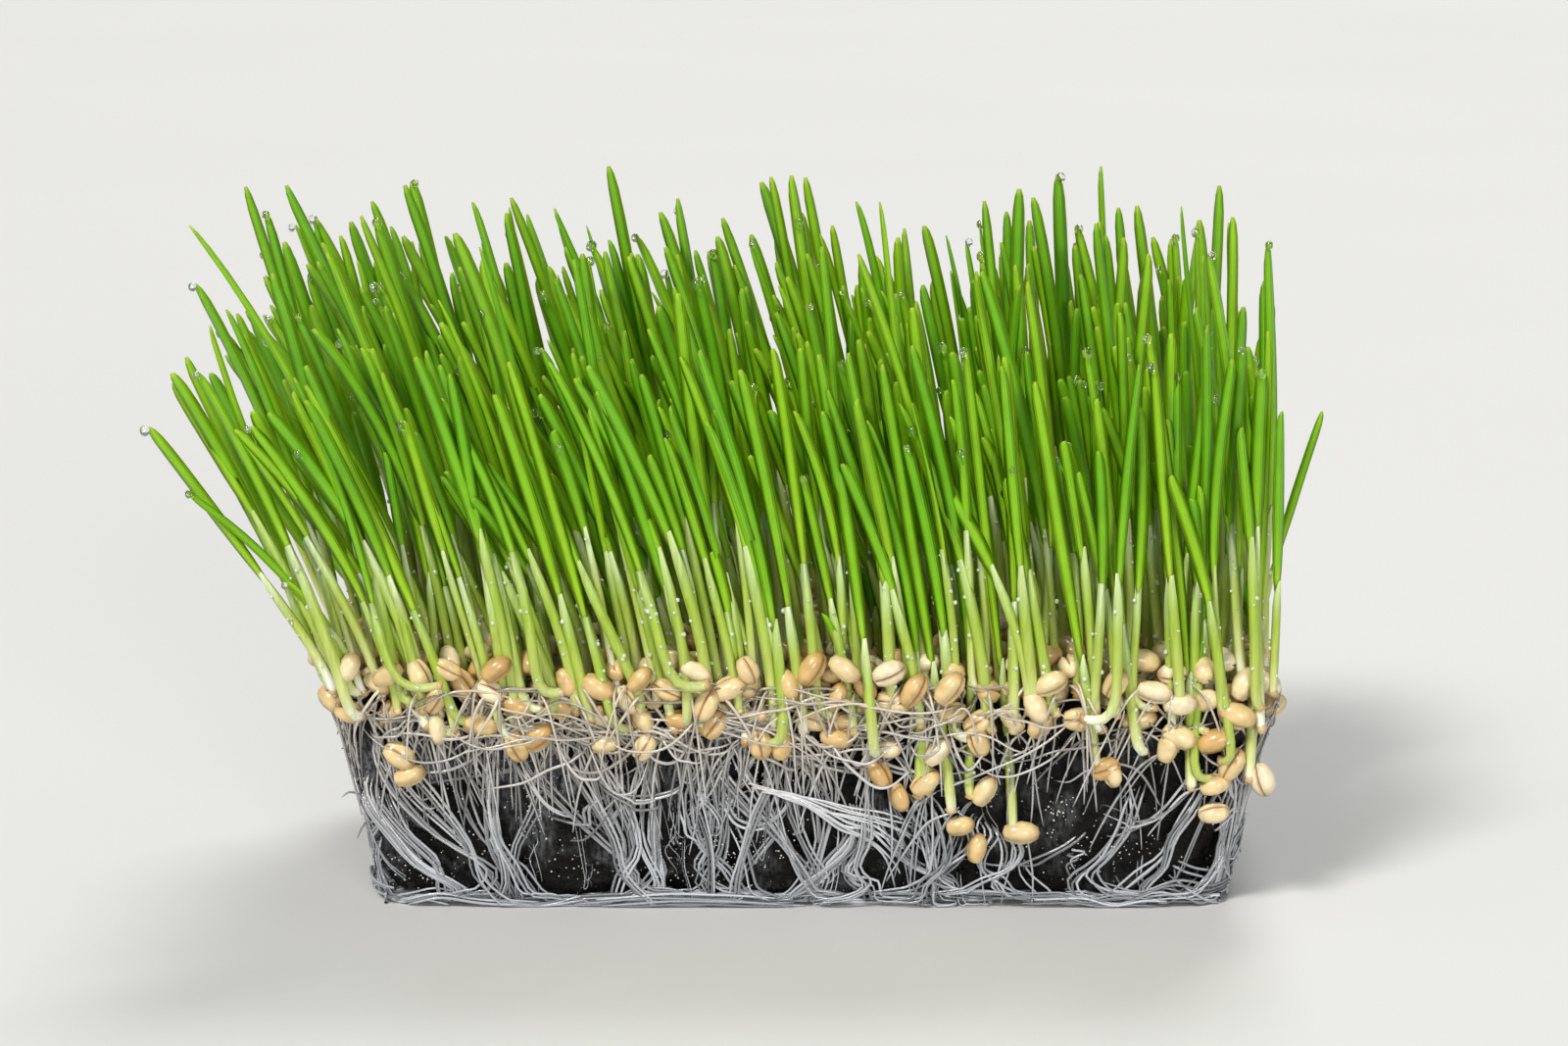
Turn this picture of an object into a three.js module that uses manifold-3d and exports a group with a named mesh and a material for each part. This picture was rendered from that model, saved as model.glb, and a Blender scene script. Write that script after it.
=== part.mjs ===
// Wheatgrass block: a slab of sprouted wheat that has been tipped out of its growing tray.
// A dark block of growing medium is wrapped in a felt of roots that took the tray's shape.
// A bed of swollen kernels lies on top, and tufts of leaning green shoots stand on it.
// Millimetres, +Z up, +X to the right, +Y to the back. The origin is the middle of the underside.
import * as THREE from "three";
import { mergeVertices } from "three/addons/utils/BufferGeometryUtils.js";
import Module from "manifold-3d";

const wasm = await Module();
wasm.setup();

// Driving dimensions.
const BASE_LENGTH = 182; // outside of the roots at the floor, along X
const BASE_DEPTH = 96; // the same along Y
const RIM_HEIGHT = 45; // top edge of the root felt
const DRAFT = 8; // how far each side leans out over RIM_HEIGHT, as the tray's walls did
const CORNER_RADIUS = 13; // at the floor
const FELT_THICKNESS = 1.8; // root felt on the four sides
const FLOOR_FELT = 2.4; // root felt underneath, where the roots pile up
const GAP = 0.3; // clearance between neighbouring pieces
const ROPE_HEIGHT = 5; // band of roots that circled the tray's floor
const ROPE_PROUD = 0.8; // how far that band stands out of the felt
const BED_THICKNESS = 3; // felt of crown roots that knits the kernels together
const KERNEL = new THREE.Vector3(3.5, 1.9, 1.8); // half length, half width, half height
const COLUMNS = 10; // tufts along X
const ROWS = 5; // tufts along Y
const TUFT_INSET = 8; // from the rim's edge to the outermost tufts
const SHOOTS_PER_TUFT = 4;
const KERNELS_PER_TUFT = 3;
const CROWN_RADIUS = 2.6; // where the shoots of one tuft meet
const CROWN_HEIGHT = 3;
const SHORTEST_SHOOT = 58;
const LONGEST_SHOOT = 98;
const LEAN_LEFT = -27; // how far the tips lean along X at the left end
const LEAN_RIGHT = -3; // the same at the right end
const LEAN_OUT = 5; // how far the front tips lean forward and the back tips back

const COLOURS = {
  medium: { color: 0x0d0c0b, roughness: 0.55, metalness: 0 },
  roots: { color: 0xcfc9bd, roughness: 0.6, metalness: 0 },
  kernels: { color: 0xd2a56a, roughness: 0.45, metalness: 0 },
  shoots: { color: 0x5fa81c, roughness: 0.5, metalness: 0 },
};
const materials = Object.fromEntries(
  Object.entries(COLOURS).map(([name, look]) => [name, new THREE.MeshStandardMaterial(look)]),
);

const mix = THREE.MathUtils.lerp;

// A number from 0 to 1 that looks random and is always the same for the same n.
function scatter(n) {
  const wave = Math.sin(n * 12.9898) * 43758.5453;
  return wave - Math.floor(wave);
}

function solidOf(geometry) {
  const bare = geometry.clone();
  bare.deleteAttribute("normal");
  bare.deleteAttribute("uv");
  const merged = mergeVertices(bare, 1e-4);
  return new wasm.Manifold(
    new wasm.Mesh({
      numProp: 3,
      vertProperties: merged.attributes.position.array,
      triVerts: new Uint32Array(merged.index.array),
    }),
  );
}

function geometryOf(solid) {
  const mesh = solid.getMesh();
  return new THREE.BufferGeometry()
    .setAttribute("position", new THREE.BufferAttribute(mesh.vertProperties, 3))
    .setIndex(new THREE.BufferAttribute(mesh.triVerts, 1));
}

const joined = (geometries) =>
  geometries.map(solidOf).reduce((whole, piece) => whole.add(piece));

// How far a wall of the tray's shape has leaned out at height z.
const draftAt = (z) => (DRAFT * z) / RIM_HEIGHT;

// A block with the tray's outline and draft, from height bottom to top, outset by grow.
function trayBlock(bottom, top, grow) {
  const half = { x: BASE_LENGTH / 2 + grow, y: BASE_DEPTH / 2 + grow };
  const r = CORNER_RADIUS + grow;
  const outline = new THREE.Shape();
  outline.moveTo(-half.x + r, -half.y);
  outline.lineTo(half.x - r, -half.y);
  outline.absarc(half.x - r, -half.y + r, r, -Math.PI / 2, 0);
  outline.lineTo(half.x, half.y - r);
  outline.absarc(half.x - r, half.y - r, r, 0, Math.PI / 2);
  outline.lineTo(-half.x + r, half.y);
  outline.absarc(-half.x + r, half.y - r, r, Math.PI / 2, Math.PI);
  outline.lineTo(-half.x, -half.y + r);
  outline.absarc(-half.x + r, -half.y + r, r, Math.PI, Math.PI * 1.5);
  const geometry = new THREE.ExtrudeGeometry(outline, {
    depth: top - bottom,
    bevelEnabled: false,
    curveSegments: 4,
  });
  geometry.translate(0, 0, bottom);
  const place = geometry.getAttribute("position");
  for (let i = 0; i < place.count; i++) {
    const out = draftAt(place.getZ(i));
    place.setX(i, place.getX(i) * (1 + out / half.x));
    place.setY(i, place.getY(i) * (1 + out / half.y));
  }
  return geometry;
}

const MEDIUM_TOP = RIM_HEIGHT - 1;
const BED_BOTTOM = RIM_HEIGHT + GAP;
const BED_TOP = BED_BOTTOM + BED_THICKNESS;

// The dark, crumbly growing medium that fills the felt.
function growingMedium() {
  return trayBlock(FLOOR_FELT + GAP, MEDIUM_TOP, -FELT_THICKNESS - GAP);
}

// One bundle of roots that runs down the outside of a wall, from the rim to the floor.
function rootBundle({ along, drift, turn, radius }) {
  const points = [0, 1, 2, 3].map((k) => {
    const z = mix(RIM_HEIGHT - 3, 2, k / 3);
    const sideways = along + drift * Math.sin((Math.PI / 2) * (k / 3));
    const end = turn % 2 === 1;
    const wall = (end ? BASE_LENGTH : BASE_DEPTH) / 2 + draftAt(z);
    return new THREE.Vector3(sideways, -wall, z).applyAxisAngle(
      new THREE.Vector3(0, 0, 1),
      (turn * Math.PI) / 2,
    );
  });
  const ring = new THREE.Shape();
  ring.absarc(0, 0, radius, 0, Math.PI * 2);
  return new THREE.ExtrudeGeometry(ring, {
    steps: 4,
    curveSegments: 3,
    bevelEnabled: false,
    extrudePath: new THREE.CatmullRomCurve3(points),
  });
}

// The felt of roots: an open-topped skin with the tray's shape, ribbed by root bundles.
function rootMat(cutters) {
  const bundles = [];
  const bundlesOnWall = [6, 3, 6, 3];
  bundlesOnWall.forEach((count, turn) => {
    const reach = (turn % 2 === 1 ? BASE_DEPTH : BASE_LENGTH) / 2 - CORNER_RADIUS;
    for (let k = 0; k < count; k++) {
      const n = turn * 20 + k;
      bundles.push(
        rootBundle({
          along: mix(-reach, reach, (k + 0.3 + 0.4 * scatter(n)) / count),
          drift: mix(-7, 7, scatter(n + 90)),
          turn,
          radius: mix(0.9, 1.3, scatter(n + 180)),
        }),
      );
    }
  });
  const skin = joined([
    trayBlock(0, RIM_HEIGHT, 0),
    trayBlock(0, ROPE_HEIGHT, ROPE_PROUD),
    ...bundles,
  ]);
  const hollow = solidOf(trayBlock(FLOOR_FELT, RIM_HEIGHT + 5, -FELT_THICKNESS));
  const room = cutters.reduce((whole, cutter) => whole.subtract(solidOf(cutter)), skin);
  return geometryOf(room.subtract(hollow));
}

// A swollen wheat kernel, lying along X until it is turned.
function kernel({ grow = 0, sides = 6, rings = 3 }) {
  const geometry = new THREE.SphereGeometry(1, sides, rings);
  geometry.rotateZ(Math.PI / 2);
  geometry.scale(KERNEL.x + grow, KERNEL.y + grow, KERNEL.z + grow);
  return geometry;
}

const WIDE = BASE_LENGTH + 2 * DRAFT;
const DEEP = BASE_DEPTH + 2 * DRAFT;

// Where tuft n stands, and where each of its shoots starts and ends.
function tuftPlan(column, row) {
  const n = row * COLUMNS + column;
  const reach = { x: WIDE / 2 - TUFT_INSET, y: DEEP / 2 - TUFT_INSET };
  const x = mix(-reach.x, reach.x, column / (COLUMNS - 1)) + mix(-2, 2, scatter(n + 300));
  const y = mix(-reach.y, reach.y, row / (ROWS - 1)) + mix(-2, 2, scatter(n + 400));
  const lean = new THREE.Vector2(
    mix(LEAN_LEFT, LEAN_RIGHT, x / WIDE + 0.5),
    mix(-LEAN_OUT, LEAN_OUT, y / DEEP + 0.5),
  );
  const shoots = Array.from({ length: SHOOTS_PER_TUFT }, (_, k) => {
    const seed = n * SHOOTS_PER_TUFT + k;
    const angle = ((k + 0.6 * scatter(seed + 500)) * 2 * Math.PI) / SHOOTS_PER_TUFT;
    return {
      angle,
      length: mix(SHORTEST_SHOOT, LONGEST_SHOOT, scatter(seed + 800)),
      spread: mix(3.5, 6.5, scatter(seed + 1100)),
      facing: Math.PI * scatter(seed + 1400),
    };
  });
  return { n, x, y, lean, shoots };
}

// Half width of a shoot against its share of the length: a round sheath below, a flat leaf above.
const SHOOT_OUTLINE = [
  [0, 0],
  [1.0, 0],
  [1.0, 0.34],
  [1.5, 0.68],
  [0, 1],
];
const SHEATH_SHARE = 0.34;
const LEAF_FLATNESS = 0.28; // thickness of the leaf over its width

// A shoot that stands on the origin and ends at the offset tip, bent a little at its foot.
function shoot({ length, tip, facing }) {
  const profile = SHOOT_OUTLINE.map(([width, t]) => new THREE.Vector2(width, t));
  const geometry = new THREE.LatheGeometry(profile, 4);
  geometry.rotateX(Math.PI / 2);
  const place = geometry.getAttribute("position");
  for (let i = 0; i < place.count; i++) {
    const t = Math.max(0, place.getZ(i));
    const flat = t > SHEATH_SHARE + 0.01 ? LEAF_FLATNESS : 1;
    const wide = place.getX(i);
    const thick = place.getY(i) * flat;
    const bend = t ** 1.35;
    place.setXYZ(
      i,
      wide * Math.cos(facing) - thick * Math.sin(facing) + tip.x * bend,
      wide * Math.sin(facing) + thick * Math.cos(facing) + tip.y * bend,
      t * length,
    );
  }
  return geometry;
}

// A tuft: a short crown on the kernel bed with its shoots fanning out of it.
function tuft(plan) {
  const crown = new THREE.CylinderGeometry(CROWN_RADIUS * 0.8, CROWN_RADIUS, CROWN_HEIGHT, 5);
  crown.rotateX(Math.PI / 2);
  crown.translate(0, 0, CROWN_HEIGHT / 2);
  const shoots = plan.shoots.map(({ angle, length, spread, facing }) => {
    const tip = new THREE.Vector2(Math.cos(angle), Math.sin(angle))
      .multiplyScalar(spread)
      .add(plan.lean);
    return shoot({ length, tip, facing }).translate(
      Math.cos(angle) * 0.9,
      Math.sin(angle) * 0.9,
      0.5,
    );
  });
  return geometryOf(joined([crown, ...shoots]));
}

// Centre plus offset, or minus it where plus would hang over the bed's edge.
const keptOnBed = (centre, offset, limit) =>
  Math.abs(centre + offset) > limit ? centre - offset : centre + offset;

// The kernel bed: kernels half sunk in a felt of crown roots, clear of every crown.
function kernelBed(plans) {
  const limit = { x: WIDE / 2 - TUFT_INSET / 2, y: DEEP / 2 - TUFT_INSET / 2 };
  const kernels = plans.flatMap(({ n, x, y }) =>
    Array.from({ length: KERNELS_PER_TUFT }, (_, k) => {
      const seed = n * KERNELS_PER_TUFT + k;
      const angle = ((k + 0.5 * scatter(seed + 2000)) * 2 * Math.PI) / KERNELS_PER_TUFT;
      const around = mix(6.2, 7.2, scatter(seed + 2300));
      return kernel({})
        .rotateY(mix(-0.3, 0.3, scatter(seed + 2600)))
        .rotateZ(angle + Math.PI / 2)
        .translate(
          keptOnBed(x, Math.cos(angle) * around, limit.x),
          keptOnBed(y, Math.sin(angle) * around, limit.y),
          BED_TOP,
        );
    }),
  );
  const slab = trayBlock(BED_BOTTOM, BED_TOP, -DRAFT * (GAP / RIM_HEIGHT) - 1.5);
  return geometryOf(joined([slab, ...kernels]));
}

// Kernels that slipped off the bed and stuck to the front wall: x, height and turn in degrees.
const SLIPPED_KERNELS = [
  { x: -84, z: 35, turn: -35 },
  { x: 16, z: 31, turn: -60 },
  { x: 33, z: 19, turn: 15 },
  { x: 63, z: 32, turn: 20 },
  { x: 76, z: 37, turn: 75 },
  { x: 86, z: 22, turn: 10 },
];

function slippedKernel({ x, z, turn }, grow) {
  const wall = -BASE_DEPTH / 2 - draftAt(z);
  return kernel({ grow, sides: 8, rings: 6 })
    .rotateY(-THREE.MathUtils.degToRad(turn))
    .translate(x, wall - KERNEL.y * 0.6, z);
}

function part() {
  const block = new THREE.Group();
  const add = (name, geometry, material, x = 0, y = 0, z = 0) => {
    const mesh = new THREE.Mesh(geometry, material);
    mesh.name = name;
    mesh.position.set(x, y, z);
    block.add(mesh);
  };

  const plans = [];
  for (let row = 0; row < ROWS; row++)
    for (let column = 0; column < COLUMNS; column++) plans.push(tuftPlan(column, row));

  add("growing_medium", growingMedium(), materials.medium);
  add("root_mat", rootMat(SLIPPED_KERNELS.map((at) => slippedKernel(at, GAP))), materials.roots);
  add("kernel_bed", kernelBed(plans), materials.kernels);
  SLIPPED_KERNELS.forEach((at, k) =>
    add(`slipped_kernel_${k + 1}`, slippedKernel(at, 0), materials.kernels),
  );
  plans.forEach((plan) => {
    const name = `tuft_${String(plan.n + 1).padStart(2, "0")}`;
    add(name, tuft(plan), materials.shoots, plan.x, plan.y, BED_TOP + GAP);
  });

  // One shoot has come away at the right-hand end and leans out on its own.
  const loner = { length: 56, tip: new THREE.Vector2(13, -2), facing: 0.3 };
  const beside = { x: WIDE / 2 - 3.5, y: -DEEP / 2 + 20 };
  add("outer_shoot", shoot(loner), materials.shoots, beside.x, beside.y, BED_TOP + GAP);
  return block;
}

export default part();
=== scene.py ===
# A slab of sprouted wheat that has been tipped out of its growing tray: a dark block of growing
# medium in a felt of white roots, a bed of swollen kernels, and leaning green shoots with dew.
# Metres, +Z up, +X to the right, +Y to the back. The origin is the middle of the underside.
import math

import bpy
import numpy as np
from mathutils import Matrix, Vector


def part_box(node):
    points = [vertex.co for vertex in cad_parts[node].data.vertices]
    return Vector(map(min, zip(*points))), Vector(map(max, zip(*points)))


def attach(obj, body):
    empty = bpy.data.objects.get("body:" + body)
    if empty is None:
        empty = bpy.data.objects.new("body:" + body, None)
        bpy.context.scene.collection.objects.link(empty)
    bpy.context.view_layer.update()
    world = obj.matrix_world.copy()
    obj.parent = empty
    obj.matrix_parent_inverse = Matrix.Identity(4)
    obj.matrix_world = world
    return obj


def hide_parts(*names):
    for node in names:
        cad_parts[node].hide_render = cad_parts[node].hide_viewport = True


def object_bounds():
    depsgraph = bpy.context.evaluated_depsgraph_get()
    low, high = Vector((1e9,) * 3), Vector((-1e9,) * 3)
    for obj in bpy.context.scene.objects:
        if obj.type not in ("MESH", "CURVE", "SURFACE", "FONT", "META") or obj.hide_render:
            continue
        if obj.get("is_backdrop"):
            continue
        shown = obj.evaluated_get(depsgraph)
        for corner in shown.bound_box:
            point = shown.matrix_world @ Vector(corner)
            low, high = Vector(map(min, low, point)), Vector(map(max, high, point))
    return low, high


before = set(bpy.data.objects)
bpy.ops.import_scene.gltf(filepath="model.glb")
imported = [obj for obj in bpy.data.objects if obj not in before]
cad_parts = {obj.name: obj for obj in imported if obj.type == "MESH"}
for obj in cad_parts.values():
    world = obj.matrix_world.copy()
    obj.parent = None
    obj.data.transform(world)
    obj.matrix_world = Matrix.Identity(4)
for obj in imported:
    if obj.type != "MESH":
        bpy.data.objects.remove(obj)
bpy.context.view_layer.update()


# Camera, floor and lights: the block stands on a plain pale floor and is seen square on from
# the front, a little from above, through a long lens. A soft key light from the upper left does
# most of the lighting, with a weaker one at the right and one behind to shine through the leaves.
CAMERA_RISE = math.radians(11)
CAMERA_DISTANCE = 0.9
AIM = Vector((-0.004, 0, 0.0735))
camera = bpy.data.objects.new("camera", bpy.data.cameras.new("camera"))
bpy.context.scene.collection.objects.link(camera)
camera.data.lens = 94.1
camera.data.sensor_width = 36
camera.location = AIM + CAMERA_DISTANCE * Vector((0, -math.cos(CAMERA_RISE), math.sin(CAMERA_RISE)))
camera.rotation_euler = (math.pi / 2 - CAMERA_RISE, 0, 0)
bpy.context.scene.camera = camera
bpy.context.scene.view_settings.view_transform = "Standard"


def soft_light(name, bearing, rise, softness, strength, colour):
    """A far, soft light that comes from this bearing, with 0 in front and 90 at the right."""
    light = bpy.data.objects.new(name, bpy.data.lights.new(name, "SUN"))
    bpy.context.scene.collection.objects.link(light)
    light.data.angle = math.radians(softness)
    light.data.energy = strength
    light.data.color = colour
    light.rotation_euler = (math.radians(90 - rise), 0, math.radians(bearing))


soft_light("key_light", -34, 46, 14, 2.45, (1, 0.98, 0.94))
soft_light("fill_light", 18, 12, 22, 1.15, (1, 0.99, 0.98))
soft_light("back_light", 165, 55, 20, 1.3, (1, 1, 0.96))

room = bpy.data.worlds.new("room")
bpy.context.scene.world = room
room.use_nodes = True
room.node_tree.nodes["Background"].inputs["Color"].default_value = (0.93, 0.95, 1, 1)
room.node_tree.nodes["Background"].inputs["Strength"].default_value = 0.25


def new_finish(name, roughness, **constants):
    """A material, its node tree, and its Principled shader with these constants set on it."""
    finish = bpy.data.materials.new(name)
    finish.use_nodes = True
    shader = finish.node_tree.nodes["Principled BSDF"]
    shader.inputs["Roughness"].default_value = roughness
    for socket, value in constants.items():
        shader.inputs[socket.replace("_", " ")].default_value = value
    return finish, finish.node_tree, shader


def add_node(tree, kind, settings=None, **inputs):
    """A node with its settings, and its inputs fed by a value or by another node's socket."""
    node = tree.nodes.new(kind)
    for name, value in (settings or {}).items():
        setattr(node, name, value)
    for name, value in inputs.items():
        key = int(name[1:]) if name[1:].isdigit() else name.replace("_", " ")
        if isinstance(value, bpy.types.NodeSocket):
            tree.links.new(value, node.inputs[key])
        else:
            node.inputs[key].default_value = value
    return node


def ramp(tree, factor, *stops):
    """A colour that runs through the stops, each a place from 0 to 1 and an RGB colour."""
    node = tree.nodes.new("ShaderNodeValToRGB")
    tree.links.new(factor, node.inputs["Fac"])
    points = node.color_ramp.elements
    while len(points) < len(stops):
        points.new(0.5)
    for point, (place, colour) in zip(points, stops):
        point.position = place
        point.color = (*colour, 1)
    return node.outputs["Color"]


def rescale(tree, value, low, high, to_low, to_high):
    """The value moved from one span to another, and held inside it."""
    node = add_node(tree, "ShaderNodeMapRange", None, Value=value, From_Min=low, From_Max=high,
                    To_Min=to_low, To_Max=to_high)
    return node.outputs["Result"]


def math_node(tree, operation, first, second=0.0):
    """Two values combined by a sum, a product or a test."""
    return add_node(tree, "ShaderNodeMath", {"operation": operation}, _0=first, _1=second).outputs[0]


def blended(tree, factor, first, second):
    """Two colours mixed by a factor."""
    node = tree.nodes.new("ShaderNodeMix")
    node.data_type = "RGBA"
    for socket, value in zip((node.inputs[0], node.inputs[6], node.inputs[7]), (factor, first, second)):
        if isinstance(value, bpy.types.NodeSocket):
            tree.links.new(value, socket)
        elif isinstance(value, tuple):
            socket.default_value = (*value, 1)
        else:
            socket.default_value = value
    return node.outputs[2]


def dimmed(tree, colour, value):
    """The colour made darker or brighter by a factor."""
    return add_node(tree, "ShaderNodeHueSaturation", None, Color=colour, Value=value).outputs["Color"]


def object_place(tree):
    """The spot on the object, in its own space."""
    return tree.nodes.new("ShaderNodeTexCoord").outputs["Object"]


def noise(tree, scale, detail=2.0, stretch=None, place=None):
    """Soft noise in the object's own space, drawn out along an axis by stretch."""
    where = place or object_place(tree)
    if stretch:
        where = add_node(tree, "ShaderNodeMapping", None, Vector=where, Scale=stretch).outputs[0]
    return add_node(tree, "ShaderNodeTexNoise", None, Vector=where, Scale=scale,
                    Detail=detail).outputs["Fac"]


def bumped(tree, shader, height, distance, strength=1.0):
    """Gives the shader small bumps that rise and fall with the height value."""
    bump = add_node(tree, "ShaderNodeBump", None, Height=height, Distance=distance, Strength=strength)
    tree.links.new(bump.outputs["Normal"], shader.inputs["Normal"])


def just_added(name):
    """The object that the last operator added, under its new name."""
    thing = bpy.context.object
    thing.name = name
    return thing


bpy.ops.object.select_all(action="DESELECT")
bpy.ops.mesh.primitive_plane_add(size=14)
floor = just_added("floor")
paint, tree, shader = new_finish("floor_paint", 0.7)
shade = noise(tree, 3)
tree.links.new(ramp(tree, shade, (0.3, (0.69, 0.69, 0.68)), (0.7, (0.70, 0.70, 0.69))),
               shader.inputs["Base Color"])
floor.data.materials.append(paint)
floor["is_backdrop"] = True


# Growing medium: dark coir and soil, wet through, that took the shape of the tray. Its sides are
# crumbly, with rounded hollows where air stood against the tray, and show painted white glints.
# It fills the root felt and isn't fixed to anything else.
MM = 0.001
block_low, block_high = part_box("growing_medium")
CORNER = 0.0115
# The floor's share of the rim's length and depth.
FLOOR_SHARE_X, FLOOR_SHARE_Y = 0.915, 0.86


def select_where(mesh_object, test, kind="VERT"):
    """Enters edit mode with only the vertices or edges picked by the test selected."""
    bpy.ops.object.select_all(action="DESELECT")
    mesh_object.select_set(True)
    bpy.context.view_layer.objects.active = mesh_object
    bpy.ops.object.mode_set(mode="EDIT")
    bpy.ops.mesh.select_mode(type=kind)
    bpy.ops.mesh.select_all(action="DESELECT")
    bpy.ops.object.mode_set(mode="OBJECT")
    mesh = mesh_object.data
    if kind == "VERT":
        for vertex in mesh.vertices:
            vertex.select = bool(test(vertex.co))
    else:
        for edge in mesh.edges:
            edge.select = bool(test(*(mesh.vertices[i].co for i in edge.vertices)))
    bpy.ops.object.mode_set(mode="EDIT")


def leave_edit():
    """Goes back from edit mode to object mode."""
    bpy.ops.object.mode_set(mode="OBJECT")


def resize_where(thing, test, value, **settings):
    """Resizes only the vertices picked by the test."""
    select_where(thing, test)
    bpy.ops.transform.resize(value=value, **settings)
    leave_edit()


def move_where(thing, test, value):
    """Moves only the vertices picked by the test."""
    select_where(thing, test)
    bpy.ops.transform.translate(value=value)
    leave_edit()


def settle(thing):
    """Puts the object's place, turn and size into its mesh, so that it sits at the origin."""
    bpy.ops.object.select_all(action="DESELECT")
    thing.select_set(True)
    bpy.context.view_layer.objects.active = thing
    bpy.ops.object.transform_apply(location=True, rotation=True, scale=True)


def apply_modifier(thing, name, kind, **settings):
    """Adds a modifier with these settings and applies it to the mesh."""
    modifier = thing.modifiers.new(name, kind)
    for key, value in settings.items():
        setattr(modifier, key, value)
    bpy.context.view_layer.objects.active = thing
    bpy.ops.object.modifier_apply(modifier=name)


def cloud_texture(name, size, depth):
    """Cloudy noise that a displacement follows."""
    texture = bpy.data.textures.new(name, "CLOUDS")
    texture.noise_scale = size
    texture.noise_depth = depth
    return texture


bpy.ops.object.select_all(action="DESELECT")
size = block_high - block_low
bpy.ops.mesh.primitive_cube_add(size=1, location=(block_low + block_high) / 2)
medium = just_added("medium_block")
medium.scale = (size.x * FLOOR_SHARE_X, size.y * FLOOR_SHARE_Y, size.z)
settle(medium)
select_where(medium, lambda a, b: abs(a.z - b.z) > size.z / 2, "EDGE")
bpy.ops.mesh.bevel(offset=CORNER, segments=5, affect="EDGES")
leave_edit()
resize_where(medium, lambda co: co.z > (block_low.z + block_high.z) / 2,
             (1 / FLOOR_SHARE_X, 1 / FLOOR_SHARE_Y, 1))
apply_modifier(medium, "crumble", "REMESH", mode="VOXEL", voxel_size=1.5 * MM)
apply_modifier(medium, "lumps", "DISPLACE", texture=cloud_texture("lumps", 9 * MM, 2),
               strength=4.2 * MM, mid_level=0.5, texture_coords="LOCAL")
apply_modifier(medium, "grain", "DISPLACE", texture=cloud_texture("grain", 2.2 * MM, 1),
               strength=1.3 * MM, mid_level=0.5, texture_coords="LOCAL")
bpy.ops.object.shade_smooth()

# The finish of the medium: nearly black and wet, with tiny white specks of painted glint on its
# wet grains, and a cloud of fine root hairs that greys it in patches.
wet_soil, tree, shader = new_finish("wet_soil", 0.5, Specular_IOR_Level=0.16)
place = object_place(tree)
# Painted glints: tiny white dots in patches, painted into the colour to stand in for highlights on wet grains.
dots = add_node(tree, "ShaderNodeTexVoronoi", None, Vector=place, Scale=1000.0)
painted_glint = math_node(tree, "LESS_THAN", dots.outputs["Distance"], 0.2)
picked = math_node(tree, "GREATER_THAN", dots.outputs["Color"], 0.72)
patch = rescale(tree, noise(tree, 90, 2, place=place), 0.45, 0.6, 0.0, 1.0)
painted_glint = math_node(tree, "MULTIPLY", math_node(tree, "MULTIPLY", painted_glint, picked), patch)
haze = rescale(tree, noise(tree, 85, 4, place=place), 0.5, 0.7, 0.0, 0.6)
where = add_node(tree, "ShaderNodeSeparateXYZ", None, Vector=place).outputs
haze = math_node(tree, "MULTIPLY", haze, rescale(tree, where["Z"], 0.008, 0.038, 0.6, 1.8))
haze = math_node(tree, "MULTIPLY", haze, rescale(tree, where["X"], 0.025, 0.045, 1.0, 0.5))
hairs = rescale(tree, noise(tree, 1100, 4, (1, 1, 0.3), place), 0.4, 0.68, 0.1, 1.0)
haze = math_node(tree, "MULTIPLY", haze, hairs)
soil = ramp(tree, noise(tree, 500, 3, place=place), (0.35, (0.0012, 0.0011, 0.001)),
            (0.7, (0.006, 0.005, 0.004)))
soil = blended(tree, haze, soil, (0.34, 0.35, 0.37))
tree.links.new(blended(tree, painted_glint, soil, (0.75, 0.75, 0.7)), shader.inputs["Base Color"])
tree.links.new(rescale(tree, noise(tree, 420, 3, place=place), 0.3, 0.7, 0.3, 0.7),
               shader.inputs["Roughness"])
bumped(tree, shader, noise(tree, 1100, 4, place=place), 0.5 * MM, 0.9)
medium.data.materials.append(wet_soil)
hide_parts("growing_medium")
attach(medium, "root")


# Crumbs: single grains of the medium that stand out of the block's sides, held by the roots.
# One grain is modelled and its copies are turned, sized and scattered over the sides.
# Half the floor's depth, the height of the side and how far it leans out, in millimetres.
HALF_DEEP, SIDE_TALL, SIDE_LEAN = 48, 45, 8
BASE_HALF = Vector((91 * MM, HALF_DEEP * MM))
RIM = SIDE_TALL * MM
DRAFT = SIDE_LEAN * MM
FLOOR_CORNER = 13 * MM
STRAIGHT = BASE_HALF - Vector((FLOOR_CORNER, FLOOR_CORNER))


def outline_samples():
    """The floor's outline as points, outward directions and distances, from the front's middle."""
    arcs = []
    corners = ((1, -1, -90), (1, 1, 0), (-1, 1, 90), (-1, -1, 180))
    for sign_x, sign_y, start in corners:
        for turn in np.radians(np.linspace(start, start + 90, 16)):
            way = np.array([math.cos(turn), math.sin(turn)])
            centre = np.array([sign_x * STRAIGHT.x, sign_y * STRAIGHT.y])
            arcs.append((*(centre + FLOOR_CORNER * way), *way))
    middle = (0, -BASE_HALF.y, 0, -1)
    rows = np.array([middle, *arcs, middle])
    steps = np.linalg.norm(np.diff(rows[:, :2], axis=0), axis=1)
    return rows, np.concatenate([[0], np.cumsum(steps)])


OUTLINE, OUTLINE_RUN = outline_samples()
AROUND = OUTLINE_RUN[-1]
RIGHT_MIDDLE, BACK_MIDDLE, LEFT_MIDDLE = AROUND / 4, AROUND / 2, AROUND * 3 / 4


def on_side(run, height, out):
    """Points on the block's sides: run goes round the floor's edge from the front's middle."""
    run = np.mod(run, AROUND)
    x, y, out_x, out_y = (np.interp(run, OUTLINE_RUN, OUTLINE[:, k]) for k in range(4))
    lean = DRAFT * np.asarray(height) / RIM
    return np.stack([x * (1 + lean / BASE_HALF.x) + out_x * out,
                     y * (1 + lean / BASE_HALF.y) + out_y * out,
                     np.broadcast_to(height, x.shape)], axis=-1)


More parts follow.
